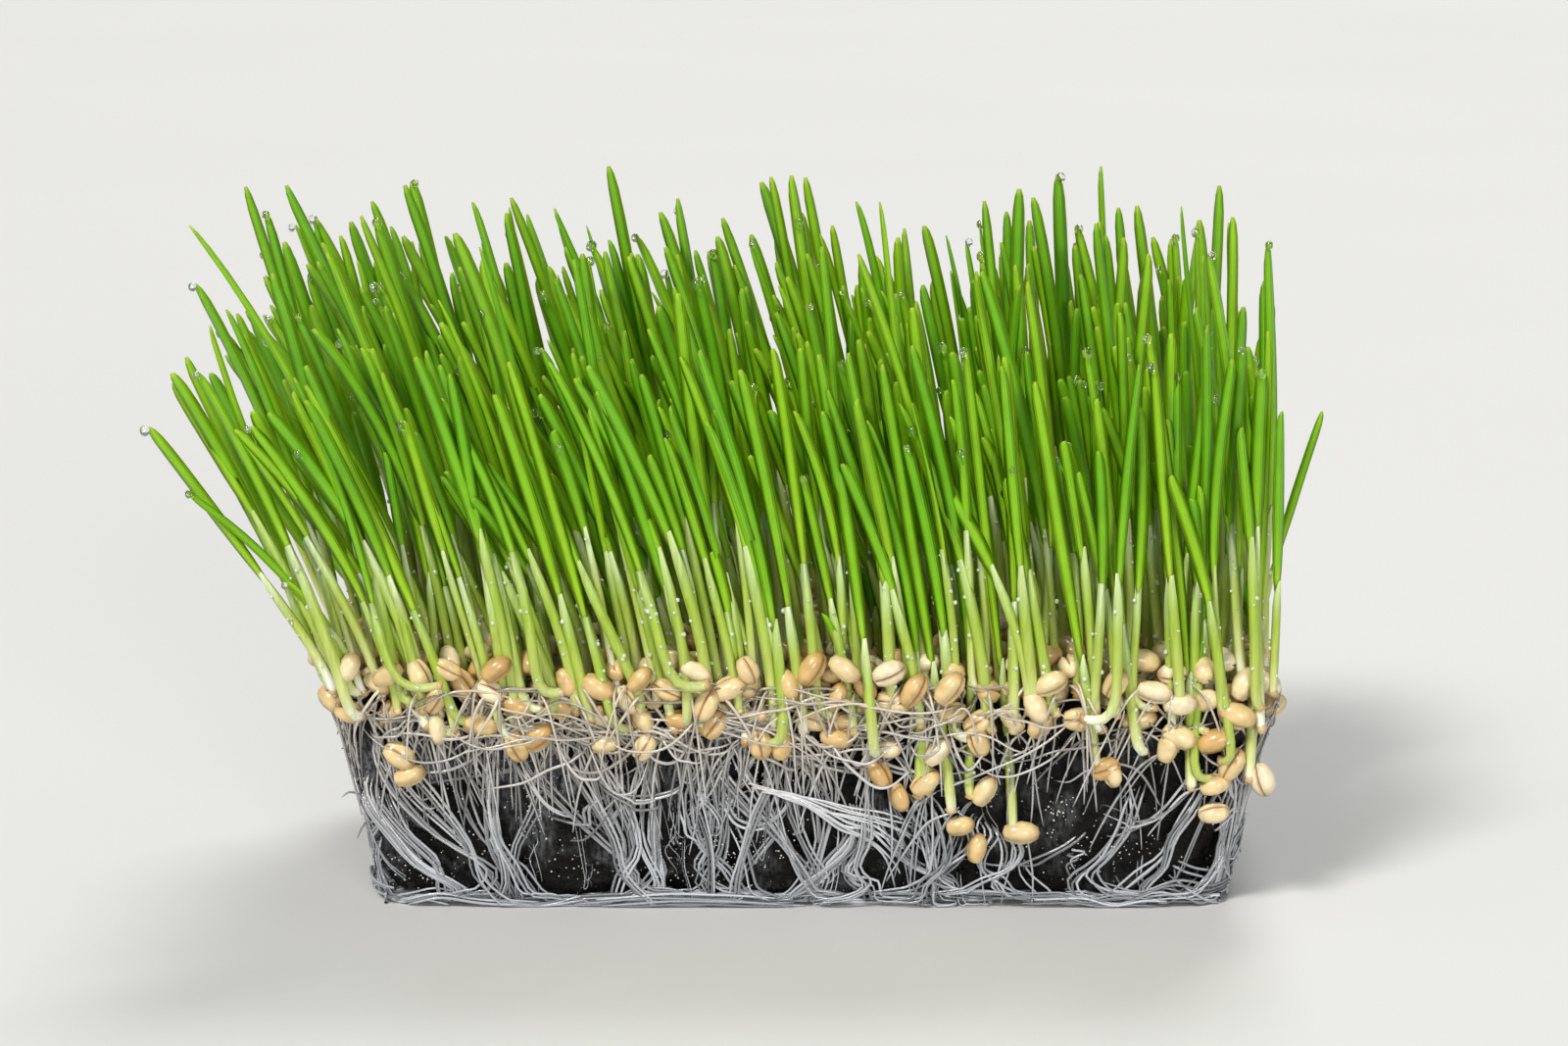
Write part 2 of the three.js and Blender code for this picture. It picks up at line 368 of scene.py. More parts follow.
def master_of(thing):
    """Takes the modelled master out of the scene as its vertices and its faces."""
    points = np.array([v.co for v in thing.data.vertices])
    faces = [tuple(face.vertices) for face in thing.data.polygons]
    bpy.data.objects.remove(thing)
    return points, faces


def turned(points, turns):
    """Copies of the points, each turned by its own three Euler angles."""
    cx, cy, cz = np.cos(turns).T
    sx, sy, sz = np.sin(turns).T
    zero, one = np.zeros_like(cx), np.ones_like(cx)
    about_x = np.array([[one, zero, zero], [zero, cx, -sx], [zero, sx, cx]]).transpose(2, 0, 1)
    about_y = np.array([[cy, zero, sy], [zero, one, zero], [-sy, zero, cy]]).transpose(2, 0, 1)
    about_z = np.array([[cz, -sz, zero], [sz, cz, zero], [zero, zero, one]]).transpose(2, 0, 1)
    return points @ (about_z @ about_y @ about_x).transpose(0, 2, 1)


def new_marks(count, points, tone, along=0, across=0):
    """Growth marks for copies of a master: one tone for each copy, and values along and across."""
    marks = np.zeros((count, len(points), 3))
    marks[..., 0], marks[..., 1], marks[..., 2] = tone, along, across
    return marks


def joined_copies(name, batches, finishes):
    """One piece out of batches of copies: points (copy, vertex, 3), faces, growth and finish."""
    points, faces, growth, finish_of = [], [], [], []
    start = 0
    for copies, master_faces, marks, finish in batches:
        count, each = copies.shape[:2]
        points.append(copies.reshape(-1, 3))
        growth.append(np.broadcast_to(marks, copies.shape).reshape(-1, 3))
        for copy in range(count):
            offset = start + copy * each
            faces.extend([tuple(i + offset for i in face) for face in master_faces])
        finish_of.extend([finish] * (count * len(master_faces)))
        start += count * each
    mesh = bpy.data.meshes.new(name)
    mesh.from_pydata(np.concatenate(points).tolist(), [], faces)
    mark = mesh.attributes.new("growth", "FLOAT_VECTOR", "POINT")
    mark.data.foreach_set("vector", np.concatenate(growth).astype(np.float32).ravel())
    for finish in finishes:
        mesh.materials.append(finish)
    mesh.polygons.foreach_set("material_index", finish_of)
    mesh.polygons.foreach_set("use_smooth", [True] * len(faces))
    mesh.update()
    piece = bpy.data.objects.new(name, mesh)
    bpy.context.scene.collection.objects.link(piece)
    return piece


CRUMBS = 1500
bpy.ops.object.select_all(action="DESELECT")
bpy.ops.mesh.primitive_ico_sphere_add(subdivisions=1, radius=1)
grain = just_added("crumb_master")
resize_where(grain, lambda co: co.z > 0.4, (0.7, 1.2, 0.8))
crumb_points, crumb_faces = master_of(grain)
dice = np.random.default_rng(11)
crumbs = turned(crumb_points, dice.uniform(0, math.tau, (CRUMBS, 3)))
crumbs *= dice.uniform(0.25, 0.75, (CRUMBS, 1, 1)) * MM
crumbs += on_side(dice.uniform(0, AROUND, CRUMBS), dice.uniform(3, 43, CRUMBS) * MM,
                  dice.uniform(-2.2, -1.2, CRUMBS) * MM)[:, None]

# White grains of perlite and lime, far smaller than the crumbs, that lie in patches. They are part
# of the mix that the medium is made of, and stick to its sides like the crumbs.
GRAINS = 2200
white_grain, tree, shader = new_finish("white_grain", 0.6)
tree.links.new(ramp(tree, noise(tree, 900), (0.3, (0.55, 0.53, 0.48)), (0.7, (0.8, 0.79, 0.75))),
               shader.inputs["Base Color"])
patches = dice.uniform((0, 4), (AROUND / MM, 40), (110, 2)) * MM
spread = patches[dice.integers(0, 110, GRAINS)] + dice.normal(0, 3.2, (GRAINS, 2)) * MM
grains = turned(crumb_points, dice.uniform(0, math.tau, (GRAINS, 3)))
grains *= dice.uniform(0.07, 0.22, (GRAINS, 1, 1)) * MM
grains += on_side(spread[:, 0], np.clip(spread[:, 1], 0.002, 0.043),
                  dice.uniform(-1.2, 0.2, GRAINS) * MM)[:, None]
crumb_layer = joined_copies("medium_crumbs", [(crumbs, crumb_faces, np.zeros(3), 0),
                                              (grains, crumb_faces, np.zeros(3), 1)],
                            [wet_soil, white_grain])
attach(crumb_layer, "root")


# Roots: thousands of white threads half a millimetre thick. They grew down between the medium
# and the tray, gather in bunches at the floor, and run on along its edge as a flat rope. They
# cling to the medium by their own fine hairs and hold the whole block together.
ROOT_SIDES = 5
ROOT_STATIONS = 20
THREAD_FACING = (0.31, 0.47, 0.83)


def prism_master(name, sides, stations):
    """A closed prism one unit in radius, with a ring at each whole height."""
    bpy.ops.object.select_all(action="DESELECT")
    bpy.ops.mesh.primitive_circle_add(vertices=sides, radius=1, fill_type="NGON")
    prism = just_added(name)
    bpy.ops.object.mode_set(mode="EDIT")
    bpy.ops.mesh.select_all(action="SELECT")
    for _ in range(stations - 1):
        bpy.ops.mesh.extrude_region_move(TRANSFORM_OT_translate={"value": (0, 0, 1)})
    bpy.ops.mesh.select_all(action="SELECT")
    bpy.ops.mesh.normals_make_consistent(inside=False)
    leave_edit()
    return prism


def laid_along(points, paths, widths, facing, twist=None):
    """Copies of an upright master, each bent along its own path and as wide as widths says."""
    ahead = np.gradient(paths, axis=1)
    ahead /= np.linalg.norm(ahead, axis=2, keepdims=True)
    side = np.empty_like(ahead)
    current = np.array(facing, float)
    for station in range(paths.shape[1]):
        way = ahead[:, station]
        current = current - (current * way).sum(1, keepdims=True) * way
        current /= np.linalg.norm(current, axis=1, keepdims=True)
        side[:, station] = current
    face = np.cross(ahead, side)
    if twist is not None:
        cos, sin = np.cos(twist)[..., None], np.sin(twist)[..., None]
        side, face = side * cos + face * sin, face * cos - side * sin
    below = np.clip(np.floor(points[:, 2]).astype(int), 0, paths.shape[1] - 2)
    share = (points[:, 2] - below)[None, :, None]

    def at(values):
        return values[:, below] * (1 - share) + values[:, below + 1] * share

    wide = at(widths[..., None])
    return at(paths) + (at(side) * points[None, :, :1] + at(face) * points[None, :, 1:2]) * wide


def through(knots, stations):
    """Smooth curves through each copy's knots, shaped (copy, knot, values), evenly stationed."""
    first = 2 * knots[:, :1] - knots[:, 1:2]
    last = 2 * knots[:, -1:] - knots[:, -2:-1]
    padded = np.concatenate([first, knots, last], axis=1)
    place = np.linspace(0, knots.shape[1] - 1, stations)
    below = np.minimum(place.astype(int), knots.shape[1] - 2)
    t = (place - below)[None, :, None]
    a, b, c, d = (padded[:, below + k] for k in range(4))
    return (2 * b + (c - a) * t + (2 * a - 5 * b + 4 * c - d) * t ** 2
            + (3 * b - a - 3 * c + d) * t ** 3) / 2


root_points, root_faces = master_of(prism_master("root_master", ROOT_SIDES, ROOT_STATIONS))


def root_batch(knots, radius, dice, taper=0.55, sway=0.3, tone=(0, 1)):
    """Root copies along knots given as run, height and out in millimetres on the block's sides."""
    count = len(knots)
    route = through(knots, ROOT_STATIONS)
    along = np.linspace(0, math.tau, ROOT_STATIONS)[None, None]
    phase = dice.uniform(0, math.tau, (count, 2, 1))
    beats = dice.uniform(0.5, 1.6, (count, 2, 1))
    waves = np.sin(phase + beats * along) * dice.uniform(0.1, 1, (count, 2, 1)) * sway
    route[..., 0] += waves[:, 0]
    route[..., 1] += waves[:, 1] * 0.6
    route[..., 1] = np.maximum(route[..., 1], 0.4)
    paths = on_side(route[..., 0] * MM, route[..., 1] * MM, route[..., 2] * MM)
    root_lines.append(paths)
    share = np.linspace(0, 1, ROOT_STATIONS)[None]
    widths = radius[:, None] * MM * (1 - taper * share ** 3) * (1 - 0.5 * (1 - share) ** 8)
    facing = np.tile(THREAD_FACING, (count, 1))
    copies = laid_along(root_points, paths, widths, facing)
    marks = new_marks(count, root_points, dice.uniform(*tone, (count, 1)),
                      root_points[:, 2] / (ROOT_STATIONS - 1))
    return copies, root_faces, marks, 0


root_lines = []


def side_by_side(dice, strands, together, spacing):
    """Which group each root belongs to, and how far it lies beside the group's middle."""
    group = np.arange(strands) // together
    beside = (np.arange(strands) % together - (together - 1) / 2) * spacing
    return group, beside + dice.normal(0, 0.12, strands)


def fan(top, gather, dice, count, spread, run_on):
    """Roots from around a top spot down to a gather at the floor, in groups of three that lie
    side by side. Most run on along the floor, and the rest turn under it."""
    group, beside = side_by_side(dice, count, 3, 0.86)
    groups = group[-1] + 1
    way = np.where(dice.random(groups) < 0.5 + 0.3 * np.sign(run_on), 1, -1)[group]
    start = (top[0] + dice.uniform(-spread, spread, groups))[group] + beside
    bow = dice.uniform(-3.5, 3.5, groups)[group] + beside * 0.6
    band = dice.normal(0, 1.8, groups)[group] + beside
    far = dice.uniform(5, abs(run_on) + 5, groups)[group] + dice.uniform(-2, 2, count)
    under = dice.random(groups)[group] < 0.45
    low = np.where(under, 0.5, dice.uniform(0.5, 4, groups)[group] + np.abs(beside))
    over = dice.uniform(-1.3, 0.4, groups)[group]
    start_z = (top[1] + dice.uniform(-3, 3, groups))[group] + dice.uniform(-0.5, 0.5, count)
    far = np.where(under, 3.0, far)
    tuck = np.where(under, 1.0, 0.0)
    drop = start_z - low
    knots = [
        (start, start_z, over - 3.5),
        (start + (gather - start) * 0.15 + bow * 0.5, low + drop * 0.84, over),
        (start + (gather - start) * 0.4 + bow, low + drop * 0.6, over),
        (start + (gather - start) * 0.75 + bow * 0.8, low + drop * 0.34, over),
        (gather + band, low + drop * 0.14 + np.abs(band) * 0.4, over + 0.4),
        (gather + band + way * far * 0.3, low + 0.6, over + 0.4 - 2 * tuck),
        (gather + band + way * far * 0.65, low, over + 0.3 - 4 * tuck),
        (gather + band + way * far, low * 0.8, over - 6 * tuck),
    ]
    wobble = dice.normal(0, 0.75, (groups, len(knots)))[group]
    knots = np.array(knots)
    knots[:, 0] += wobble.T
    return knots.transpose(2, 0, 1)


def crossing(dice, count, run, height, reach, drop):
    """Roots that cross a stretch of side at a slant, whose ends lie between run and height spans."""
    group, beside = side_by_side(dice, count, 2, 0.9)
    groups = group[-1] + 1
    start = dice.uniform(*run, groups)[group] + beside
    top = dice.uniform(*height, groups)[group] + beside
    across = dice.uniform(-reach, reach, groups)[group] * dice.uniform(0.8, 1.1, count)
    fall = dice.uniform(drop * 0.4, drop, groups)[group] * dice.uniform(0.8, 1.1, count)
    sag = dice.uniform(-8, 2.5, groups)[group]
    over = dice.uniform(-1.4, 0.5, groups)[group]
    wobble = dice.normal(0, reach * 0.05, (groups, 6))[group]
    knots = [(start + across * t + wobble[:, k],
              np.maximum(top - fall * t + sag * math.sin(math.pi * t), 0.8),
              over + 0.3 * t - 2.5 * abs(2 * t - 1) ** 4) for k, t in enumerate(np.linspace(0, 1, 6))]
    return np.array(knots).transpose(2, 0, 1)


def rope(dice, count, run, height, swing=0.9):
    """Roots that lie along the floor's edge in loose bands that rise and fall."""
    group, beside = side_by_side(dice, count, 4, 0.8)
    groups = group[-1] + 1
    start = dice.uniform(*run, groups)[group] + dice.uniform(-5, 5, count)
    length = (dice.uniform(16, 40, groups) * np.where(dice.random(groups) < 0.5, -1, 1))[group]
    level = dice.uniform(*height, groups)[group]
    over = dice.uniform(-0.8, 0.7, groups)[group]
    swell = dice.normal(0, swing, (groups, 6))[group]
    knots = [(start + length * t, np.maximum(level + beside + swell[:, k], 0.4), over)
             for k, t in enumerate(np.linspace(0, 1, 6))]
    return np.array(knots).transpose(2, 0, 1)


def stubs(dice, count, run):
    """Short root ends that stick out of the side."""
    start = dice.uniform(*run, count)
    level = dice.uniform(8, 47, count)
    bend = dice.uniform(-3, 3, (2, count))
    reach = dice.uniform(1.2, 4.2, count)
    knots = [(start + bend[0] * t, level + bend[1] * t - 2 * t * t, reach * t - 1)
             for t in (0, 0.3, 0.65, 1)]
    return np.array(knots).transpose(2, 0, 1)


# The front side's bunches: where they start, where they gather, how many roots.
FRONT_FANS = (
    # top run, top height, gather, roots, spread, run on
    (-88, 28, -74, 15, 5, 14), (-82, 38, -66, 9, 6, 10), (-66, 40, -62, 9, 6, 8),
    (-56, 41, -63, 6, 8, -12), (-50, 40, -36, 9, 6, 6), (-41, 38, -35, 9, 5, 8),
    (-31, 41, -30, 12, 3, -16), (-22, 41, -19, 9, 5, 8), (-17, 35, -20, 6, 4, 10),
    (-18, 36, 1, 9, 6, 6), (-4, 36, -14, 6, 7, -8), (3, 39, 2, 9, 5, -8),
    (12, 22, 1, 12, 3, -10), (13, 20, 11, 9, 2, 8), (14, 24, 27, 6, 3, 6),
    (22, 26, 27, 9, 4, -8), (36, 18, 27, 6, 3, 10), (38, 20, 38, 9, 4, 12),
    (62, 29, 58, 6, 4, 10), (79, 28, 74, 6, 3, -12), (90, 28, 86, 6, 3, -10),
)
# The flat white band that crosses to a knot of roots right of the middle.
WHITE_BAND = ((-9, 28), (-2, 25.5), (4, 22.8), (9, 20.6), (14, 18.8), (19, 16), (22.5, 12.5), (25, 8))


def side_roots(name, seed, fans, crossings, ropes, others=()):
    """One side's felt as a piece: its bunches, the roots that cross them, and the floor's ropes."""
    dice = np.random.default_rng(seed)
    batches = [root_batch(fan(top, gather, dice, count, spread, run_on),
                          dice.uniform(0.25, 0.37, count), dice)
               for *top, gather, count, spread, run_on in fans]
    for count, run, height, reach, drop, radius in crossings:
        knots = crossing(dice, count, run, height, reach, drop)
        batches.append(root_batch(knots, dice.uniform(*radius, count), dice))
    for count, run, height, swing in ropes:
        batches.append(root_batch(rope(dice, count, run, height, swing),
                                  dice.uniform(0.24, 0.36, count), dice, 0.35))
    return joined_copies(name, [*batches, *others], [root_skin])


def plant_marks_group():
    """A node group that all the living parts share. It reads how far up its own root, kernel or
    shoot a spot lies, and the tone of that one copy, and mottles the skin between two values."""
    group = bpy.data.node_groups.new("plant_marks", "ShaderNodeTree")
    for name in ("Grain", "Stretch", "Dark", "Light"):
        group.interface.new_socket(name, in_out="INPUT", socket_type="NodeSocketFloat")
    for name in ("Tone", "Along", "Across", "Mottle"):
        group.interface.new_socket(name, in_out="OUTPUT", socket_type="NodeSocketFloat")
    given = group.nodes.new("NodeGroupInput").outputs
    result = group.nodes.new("NodeGroupOutput").inputs
    growth = add_node(group, "ShaderNodeAttribute", {"attribute_name": "growth"}).outputs["Vector"]
    marks = add_node(group, "ShaderNodeSeparateXYZ", None, Vector=growth)
    for axis, name in zip("XYZ", ("Tone", "Along", "Across")):
        group.links.new(marks.outputs[axis], result[name])
    stretch = add_node(group, "ShaderNodeCombineXYZ", None, X=1.0, Y=1.0, Z=given["Stretch"])
    place = add_node(group, "ShaderNodeVectorMath", {"operation": "MULTIPLY"},
                     _0=object_place(group), _1=stretch.outputs["Vector"]).outputs["Vector"]
    grain = noise(group, given["Grain"], 2, place=place)
    group.links.new(rescale(group, grain, 0.3, 0.7, given["Dark"], given["Light"]), result["Mottle"])
    return group


plant_marks = plant_marks_group()


def marks_of(tree, grain, dark, light, stretch=1.0):
    """The outputs of the plant_marks group, placed in a material with its own values."""
    node = add_node(tree, "ShaderNodeGroup", {"node_tree": plant_marks}, Grain=grain, Dark=dark,
                    Light=light, Stretch=stretch)
    return node.outputs


root_skin, tree, shader = new_finish("root_skin", 0.26, Coat_Weight=0.8, Coat_Roughness=0.06)
place = object_place(tree)
level = add_node(tree, "ShaderNodeSeparateXYZ", None, Vector=place).outputs["Z"]
level = math_node(tree, "ADD", level, math_node(tree, "MULTIPLY", noise(tree, 60, 2, place=place), 0.02))
marks = marks_of(tree, 2200, 0.86, 1.08)
colour = ramp(tree, rescale(tree, level, 0.012, 0.062, 0.0, 1.0), (0.0, (0.77, 0.80, 0.86)),
              (0.45, (0.79, 0.80, 0.82)), (0.7, (0.84, 0.79, 0.70)), (1.0, (0.86, 0.74, 0.55)))
# Each root's tone darkens or lightens it as a whole: partly real variation between roots, partly painted shade
# for roots that lie deeper in the felt.
tone = math_node(tree, "MULTIPLY", rescale(tree, marks["Tone"], 0, 1.3, 0.19, 0.95), marks["Mottle"])
tree.links.new(dimmed(tree, colour, tone), shader.inputs["Base Color"])
bumped(tree, shader, marks["Mottle"], 0.3 * MM, 0.6)

dice = np.random.default_rng(20)
band = np.array([[(run + 0.25 * (n - 2) * (k - 4), height + (0.22 + 0.12 * n) * (k - 4), 1 - 0.07 * n ** 2)
                  for n, (run, height) in enumerate(WHITE_BAND)] for k in range(9)])
band[..., :2] += dice.normal(0, 0.32, (9, len(WHITE_BAND), 2))
band_batch = root_batch(band, dice.uniform(0.24, 0.4, 9), dice, 0.5, 0.3, (0.85, 1.15))
stub_knots = np.concatenate([stubs(dice, 26, (88, 122)), stubs(dice, 12, (-122, -92))])
stub_batch = root_batch(stub_knots, dice.uniform(0.24, 0.34, len(stub_knots)), dice)
front_roots = side_roots(
    "front_roots", 21, FRONT_FANS,
    [(30, (-88, 30), (14, 44), 14, 26, (0.26, 0.38)), (12, (34, 90), (10, 36), 30, 18, (0.24, 0.34)),
     (60, (-90, 40), (4, 44), 9, 16, (0.07, 0.13)), (20, (-60, 20), (26, 40), 30, 10, (0.32, 0.43)),
     (10, (56, 88), (4, 14), 26, 9, (0.25, 0.36))],
    [(18, (-88, 90), (0.7, 2.0), 0.7), (10, (50, 84), (1.5, 6), 0.8)], [band_batch, stub_batch])
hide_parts("root_mat")
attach(front_roots, "root")


def random_fans(seed, middle, reach, every):
    """Bunches of roots about every so many millimetres along a side."""
    dice = np.random.default_rng(seed)
    spots = np.arange(middle - reach, middle + reach, every)
    fans = []
    for spot in spots:
        gather = spot + dice.uniform(-5, 5)
        for _ in range(2):
            top = gather + dice.uniform(-13, 13)
            fans.append((top, dice.uniform(34, 43), gather, int(dice.integers(7, 13)), 6,
                         dice.choice([-10, 10])))
    return fans


other_sides = (("right_roots", 31, RIGHT_MIDDLE, 42), ("back_roots", 41, BACK_MIDDLE, 90),
               ("left_roots", 51, LEFT_MIDDLE, 42))
for name, seed, middle, reach in other_sides:
    middle /= MM
    span = (middle - reach, middle + reach)
    side = side_roots(
        name, seed, random_fans(seed + 1, middle, reach, 12),
        [(int(reach * 0.8), span, (10, 44), 16, 24, (0.2, 0.34)),
         (int(reach * 1.3), span, (4, 44), 9, 16, (0.07, 0.14))],
        [(int(reach * 0.4), span, (0.7, 4), 0.9)])
    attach(side, "root")


# Root hairs: a fluff of far finer threads that stand out from the roots and hold the wet soil.
# Each one grows out of a root of the four sides.
HAIRS = 7000
hair_points, hair_faces = master_of(prism_master("hair_master", 3, 3))
dice = np.random.default_rng(57)
lines = np.concatenate(root_lines)
picks = dice.integers(0, len(lines), HAIRS)
below = dice.integers(1, ROOT_STATIONS - 1, HAIRS)
share = dice.random((HAIRS, 1))
base = lines[picks, below] * (1 - share) + lines[picks, below + 1] * share
way = dice.normal(0, 1, (HAIRS, 3))
way *= dice.uniform(0.5, 1.9, (HAIRS, 1)) * MM / np.linalg.norm(way, axis=1, keepdims=True)
bend = dice.normal(0, 0.25, (HAIRS, 3)) * MM
paths = np.stack([base, base + way * 0.5 + bend, base + way], axis=1)
paths[..., 2] = np.maximum(paths[..., 2], 0.2 * MM)
widths = np.tile([1, 0.9, 0.4], (HAIRS, 1)) * dice.uniform(0.02, 0.036, (HAIRS, 1)) * MM
facing = np.tile(THREAD_FACING, (HAIRS, 1))
hairs = laid_along(hair_points, paths, widths, facing)
marks = np.array([0.8, 0.5, 0])
root_hairs = joined_copies("root_hairs", [(hairs, hair_faces, marks, 0)], [root_skin])
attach(root_hairs, "root")


# Kernels: soaked wheat grains about 7.5 millimetres long, split along one side by a crease, with the
# germ at one end. They lie loosely on the block, knitted in by their own first roots.
KERNEL_HALF = Vector((3.8, 2.6, 2.45)) * MM
KERNEL_GAP = 5.0 * MM
BED_TOP = 48.3 * MM
BED_CORNER = 0.014
BED_REACH = 0.0135
LOWER_TRIES, UPPER_TRIES, FRONT_TRIES = 2600, 260, 500

bpy.ops.object.select_all(action="DESELECT")
bpy.ops.mesh.primitive_uv_sphere_add(segments=12, ring_count=6, radius=1, rotation=(0, math.pi / 2, 0))
kernel = just_added("kernel_master")
settle(kernel)
resize_where(kernel, lambda co: 0.6 < abs(co.x) < 0.95, (1.01, 1.2, 1.2))
resize_where(kernel, lambda co: co.x > 0.6, (1.04, 0.84, 0.84))
move_where(kernel, lambda co: co.z > 0.1 and abs(co.y) < 0.05 and abs(co.x) < 0.95, (0, 0, -0.34))
kernel_marks = np.zeros((len(kernel.data.vertices), 3))
kernel_marks[[v.index for v in kernel.data.vertices if v.select], 2] = 1
resize_where(kernel, lambda co: abs(co.y) > 0.05 and co.z > 1.2 * abs(co.y),
             (1, 0.55, 1.08), center_override=(0, 0, 0))
kernel_points, kernel_faces = master_of(kernel)
kernel_marks[:, 1] = kernel_points[:, 0] / 2 + 0.5
kernel_points = kernel_points * np.array(KERNEL_HALF)


def kernel_batch(places, turns, dice):
    """Kernel copies at these places and turns, each of its own size, fatness and tone."""
    count = len(places)
    sizes = dice.uniform(0.85, 1.06, (count, 1, 1)) * np.ones((1, 1, 3))
    sizes = sizes * dice.uniform(0.94, 1.06, (count, 1, 3))
    copies = turned(kernel_points * sizes, turns) + places[:, None]
    marks = np.tile(kernel_marks, (count, 1, 1))
    marks[..., 0] = dice.random((count, 1))
    return copies, kernel_faces, marks, 0


kernel_coat, tree, shader = new_finish("kernel_coat", 0.34, Coat_Weight=0.45, Coat_Roughness=0.1)
marks = marks_of(tree, 350, 0.78, 1.12)
bran = ramp(tree, marks["Tone"], (0.0, (0.62, 0.38, 0.13)), (0.25, (0.75, 0.53, 0.23)),
            (0.65, (0.82, 0.65, 0.35)), (1.0, (0.87, 0.75, 0.51)))
bran = dimmed(tree, bran, marks["Mottle"])
germ = rescale(tree, marks["Along"], 0.8, 1.0, 0.0, 0.75)
bran = blended(tree, germ, bran, (0.34, 0.15, 0.04))
# The crease is painted dark along its groove: painted shade where the groove is deep.
crease = rescale(tree, marks["Across"], 0.35, 0.9, 0.0, 0.9)
bran = blended(tree, crease, bran, (0.3, 0.12, 0.03))
tree.links.new(bran, shader.inputs["Base Color"])
bumped(tree, shader, noise(tree, 1500, 3), 0.12 * MM, 0.5)

taken = []


def spaced(places, gap):
    """Which of the places are far enough from every place that is already taken."""
    kept = []
    for place in places:
        near = bool(taken) and np.linalg.norm(np.array(taken) - place, axis=1).min() < gap
        kept.append(not near)
        if not near:
            taken.append(place)
    return np.array(kept)


def within_rim(spots):
    """Only the spots that lie inside the rim's outline, with its rounded corners."""
    inner = np.maximum(np.abs(spots) - np.array([rim_high.x - BED_CORNER, rim_high.y - BED_CORNER]), 0)
    return spots[np.linalg.norm(inner, axis=1) < BED_REACH]


# One layer lies on the medium, and more kernels lie on those, most of them near the front.
dice = np.random.default_rng(61)
rim_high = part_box("kernel_bed")[1]
spots = within_rim(dice.uniform(-1, 1, (LOWER_TRIES, 2)) * np.array([rim_high.x, rim_high.y]))
places = np.column_stack([spots, BED_TOP + dice.uniform(-2.2, 1.6, len(spots)) * MM])
lower = places[spaced(places, KERNEL_GAP)]
front_half = dice.uniform(-1, -0.45, (FRONT_TRIES, 1))
spots = np.concatenate([dice.uniform(-1, 1, (UPPER_TRIES, 2)),
                        np.column_stack([dice.uniform(-1, 1, (FRONT_TRIES, 1)), front_half])])
spots = within_rim(spots * np.array([rim_high.x, rim_high.y]))
places = np.column_stack([spots, BED_TOP + dice.uniform(3, 6.5, len(spots)) * MM])
upper = places[spaced(places, KERNEL_GAP)]
places = np.concatenate([lower, upper])
turns = np.stack([dice.uniform(0, math.tau, len(places)), dice.normal(0, 0.35, len(places)),
                  dice.uniform(0, math.tau, len(places))], axis=1)
bed_batch = kernel_batch(places, turns, dice)

# Kernels that hang over the rim, thickest along the front, where some lie on the first ones. Each
# keeps clear of those before it.
RIM_GAP = 5.5 * MM
UPPER_RIM = 260
rim_run = np.concatenate([dice.uniform(-94, 94, 600) * MM, dice.uniform(0, AROUND, 900),
                          dice.uniform(-96, 30, UPPER_RIM) * MM])
rim_height = dice.uniform(42, 51, len(rim_run)) * MM
rim_out = dice.uniform(-2, 0.9, len(rim_run)) * MM
rim_height[-UPPER_RIM:] += 4 * MM
rim_out[-UPPER_RIM:] += 2 * MM
rim_places = on_side(rim_run, rim_height, rim_out)
rim_places = rim_places[spaced(rim_places, RIM_GAP)]
rim_count = len(rim_places)


def turned_outwards(dice, count, outward, scatter):
    """Turns that lay kernels across a side, with the crease more or less towards the outside."""
    roll = math.radians(90) + dice.uniform(-scatter, scatter, count)
    return np.stack([roll, dice.uniform(-1.2, 1.2, count), outward], axis=1)


outward = np.arctan2(rim_places[:, 0] / 0.09 ** 2, -rim_places[:, 1] / 0.05 ** 2)
outward = np.where(np.abs(rim_places[:, 0]) < 0.08, np.where(rim_places[:, 1] < 0, 0, math.pi), outward)
rim_batch = kernel_batch(rim_places, turned_outwards(dice, rim_count, outward, 1.9), dice)
kernel_layer = joined_copies("kernel_layer", [bed_batch, rim_batch], [kernel_coat])
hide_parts("kernel_bed")
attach(kernel_layer, "root")

# Kernels that slipped down the front: six of them are solids of their own, and the rest, given
# by x, height and turn, are small company for them.
SLIPPED_COMPANY = ((-82, 30.5, 20), (-41, 37.5, 10), (7, 39, -10), (20, 25.5, -70), (25.5, 29, 40),
                   (36.5, 14, 80), (38, 27, 60), (86, 28.5, 20), (28, 36, 50), (-33, 37, 60))


def lain_on_front(x, height, turn, dice):
    """One kernel lying flat against the front side, its crease turned a little outwards."""
    centre = np.array([[x, -(BASE_HALF.y / MM + SIDE_LEAN * height / SIDE_TALL) - 1.0, height]]) * MM
    angles = np.array([[math.radians(90) + dice.uniform(-1.7, 1.7), -math.radians(turn), 0]])
    return kernel_batch(centre, angles, dice)


for k, slant in enumerate((-35, -60, 15, 20, 75, 10)):
    low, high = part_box(f"slipped_kernel_{k + 1}")
    centre = (low + high) / 2 / MM
    batch = lain_on_front(centre.x, centre.z, slant, np.random.default_rng(70 + k))
    skin = joined_copies(f"fallen_kernel_{k + 1}", [batch], [kernel_coat])
    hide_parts(f"slipped_kernel_{k + 1}")
    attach(skin, "root")

dice = np.random.default_rng(77)
company = [lain_on_front(*at, dice) for at in SLIPPED_COMPANY]
taken.extend((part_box(f"slipped_kernel_{k}")[0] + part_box(f"slipped_kernel_{k}")[1]) / 2 for k in range(1, 7))
taken.extend(on_side(x * MM, height * MM, 1 * MM) for x, height, _ in SLIPPED_COMPANY)
company_skin = joined_copies("fallen_kernels", company, [kernel_coat])
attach(company_skin, "root")


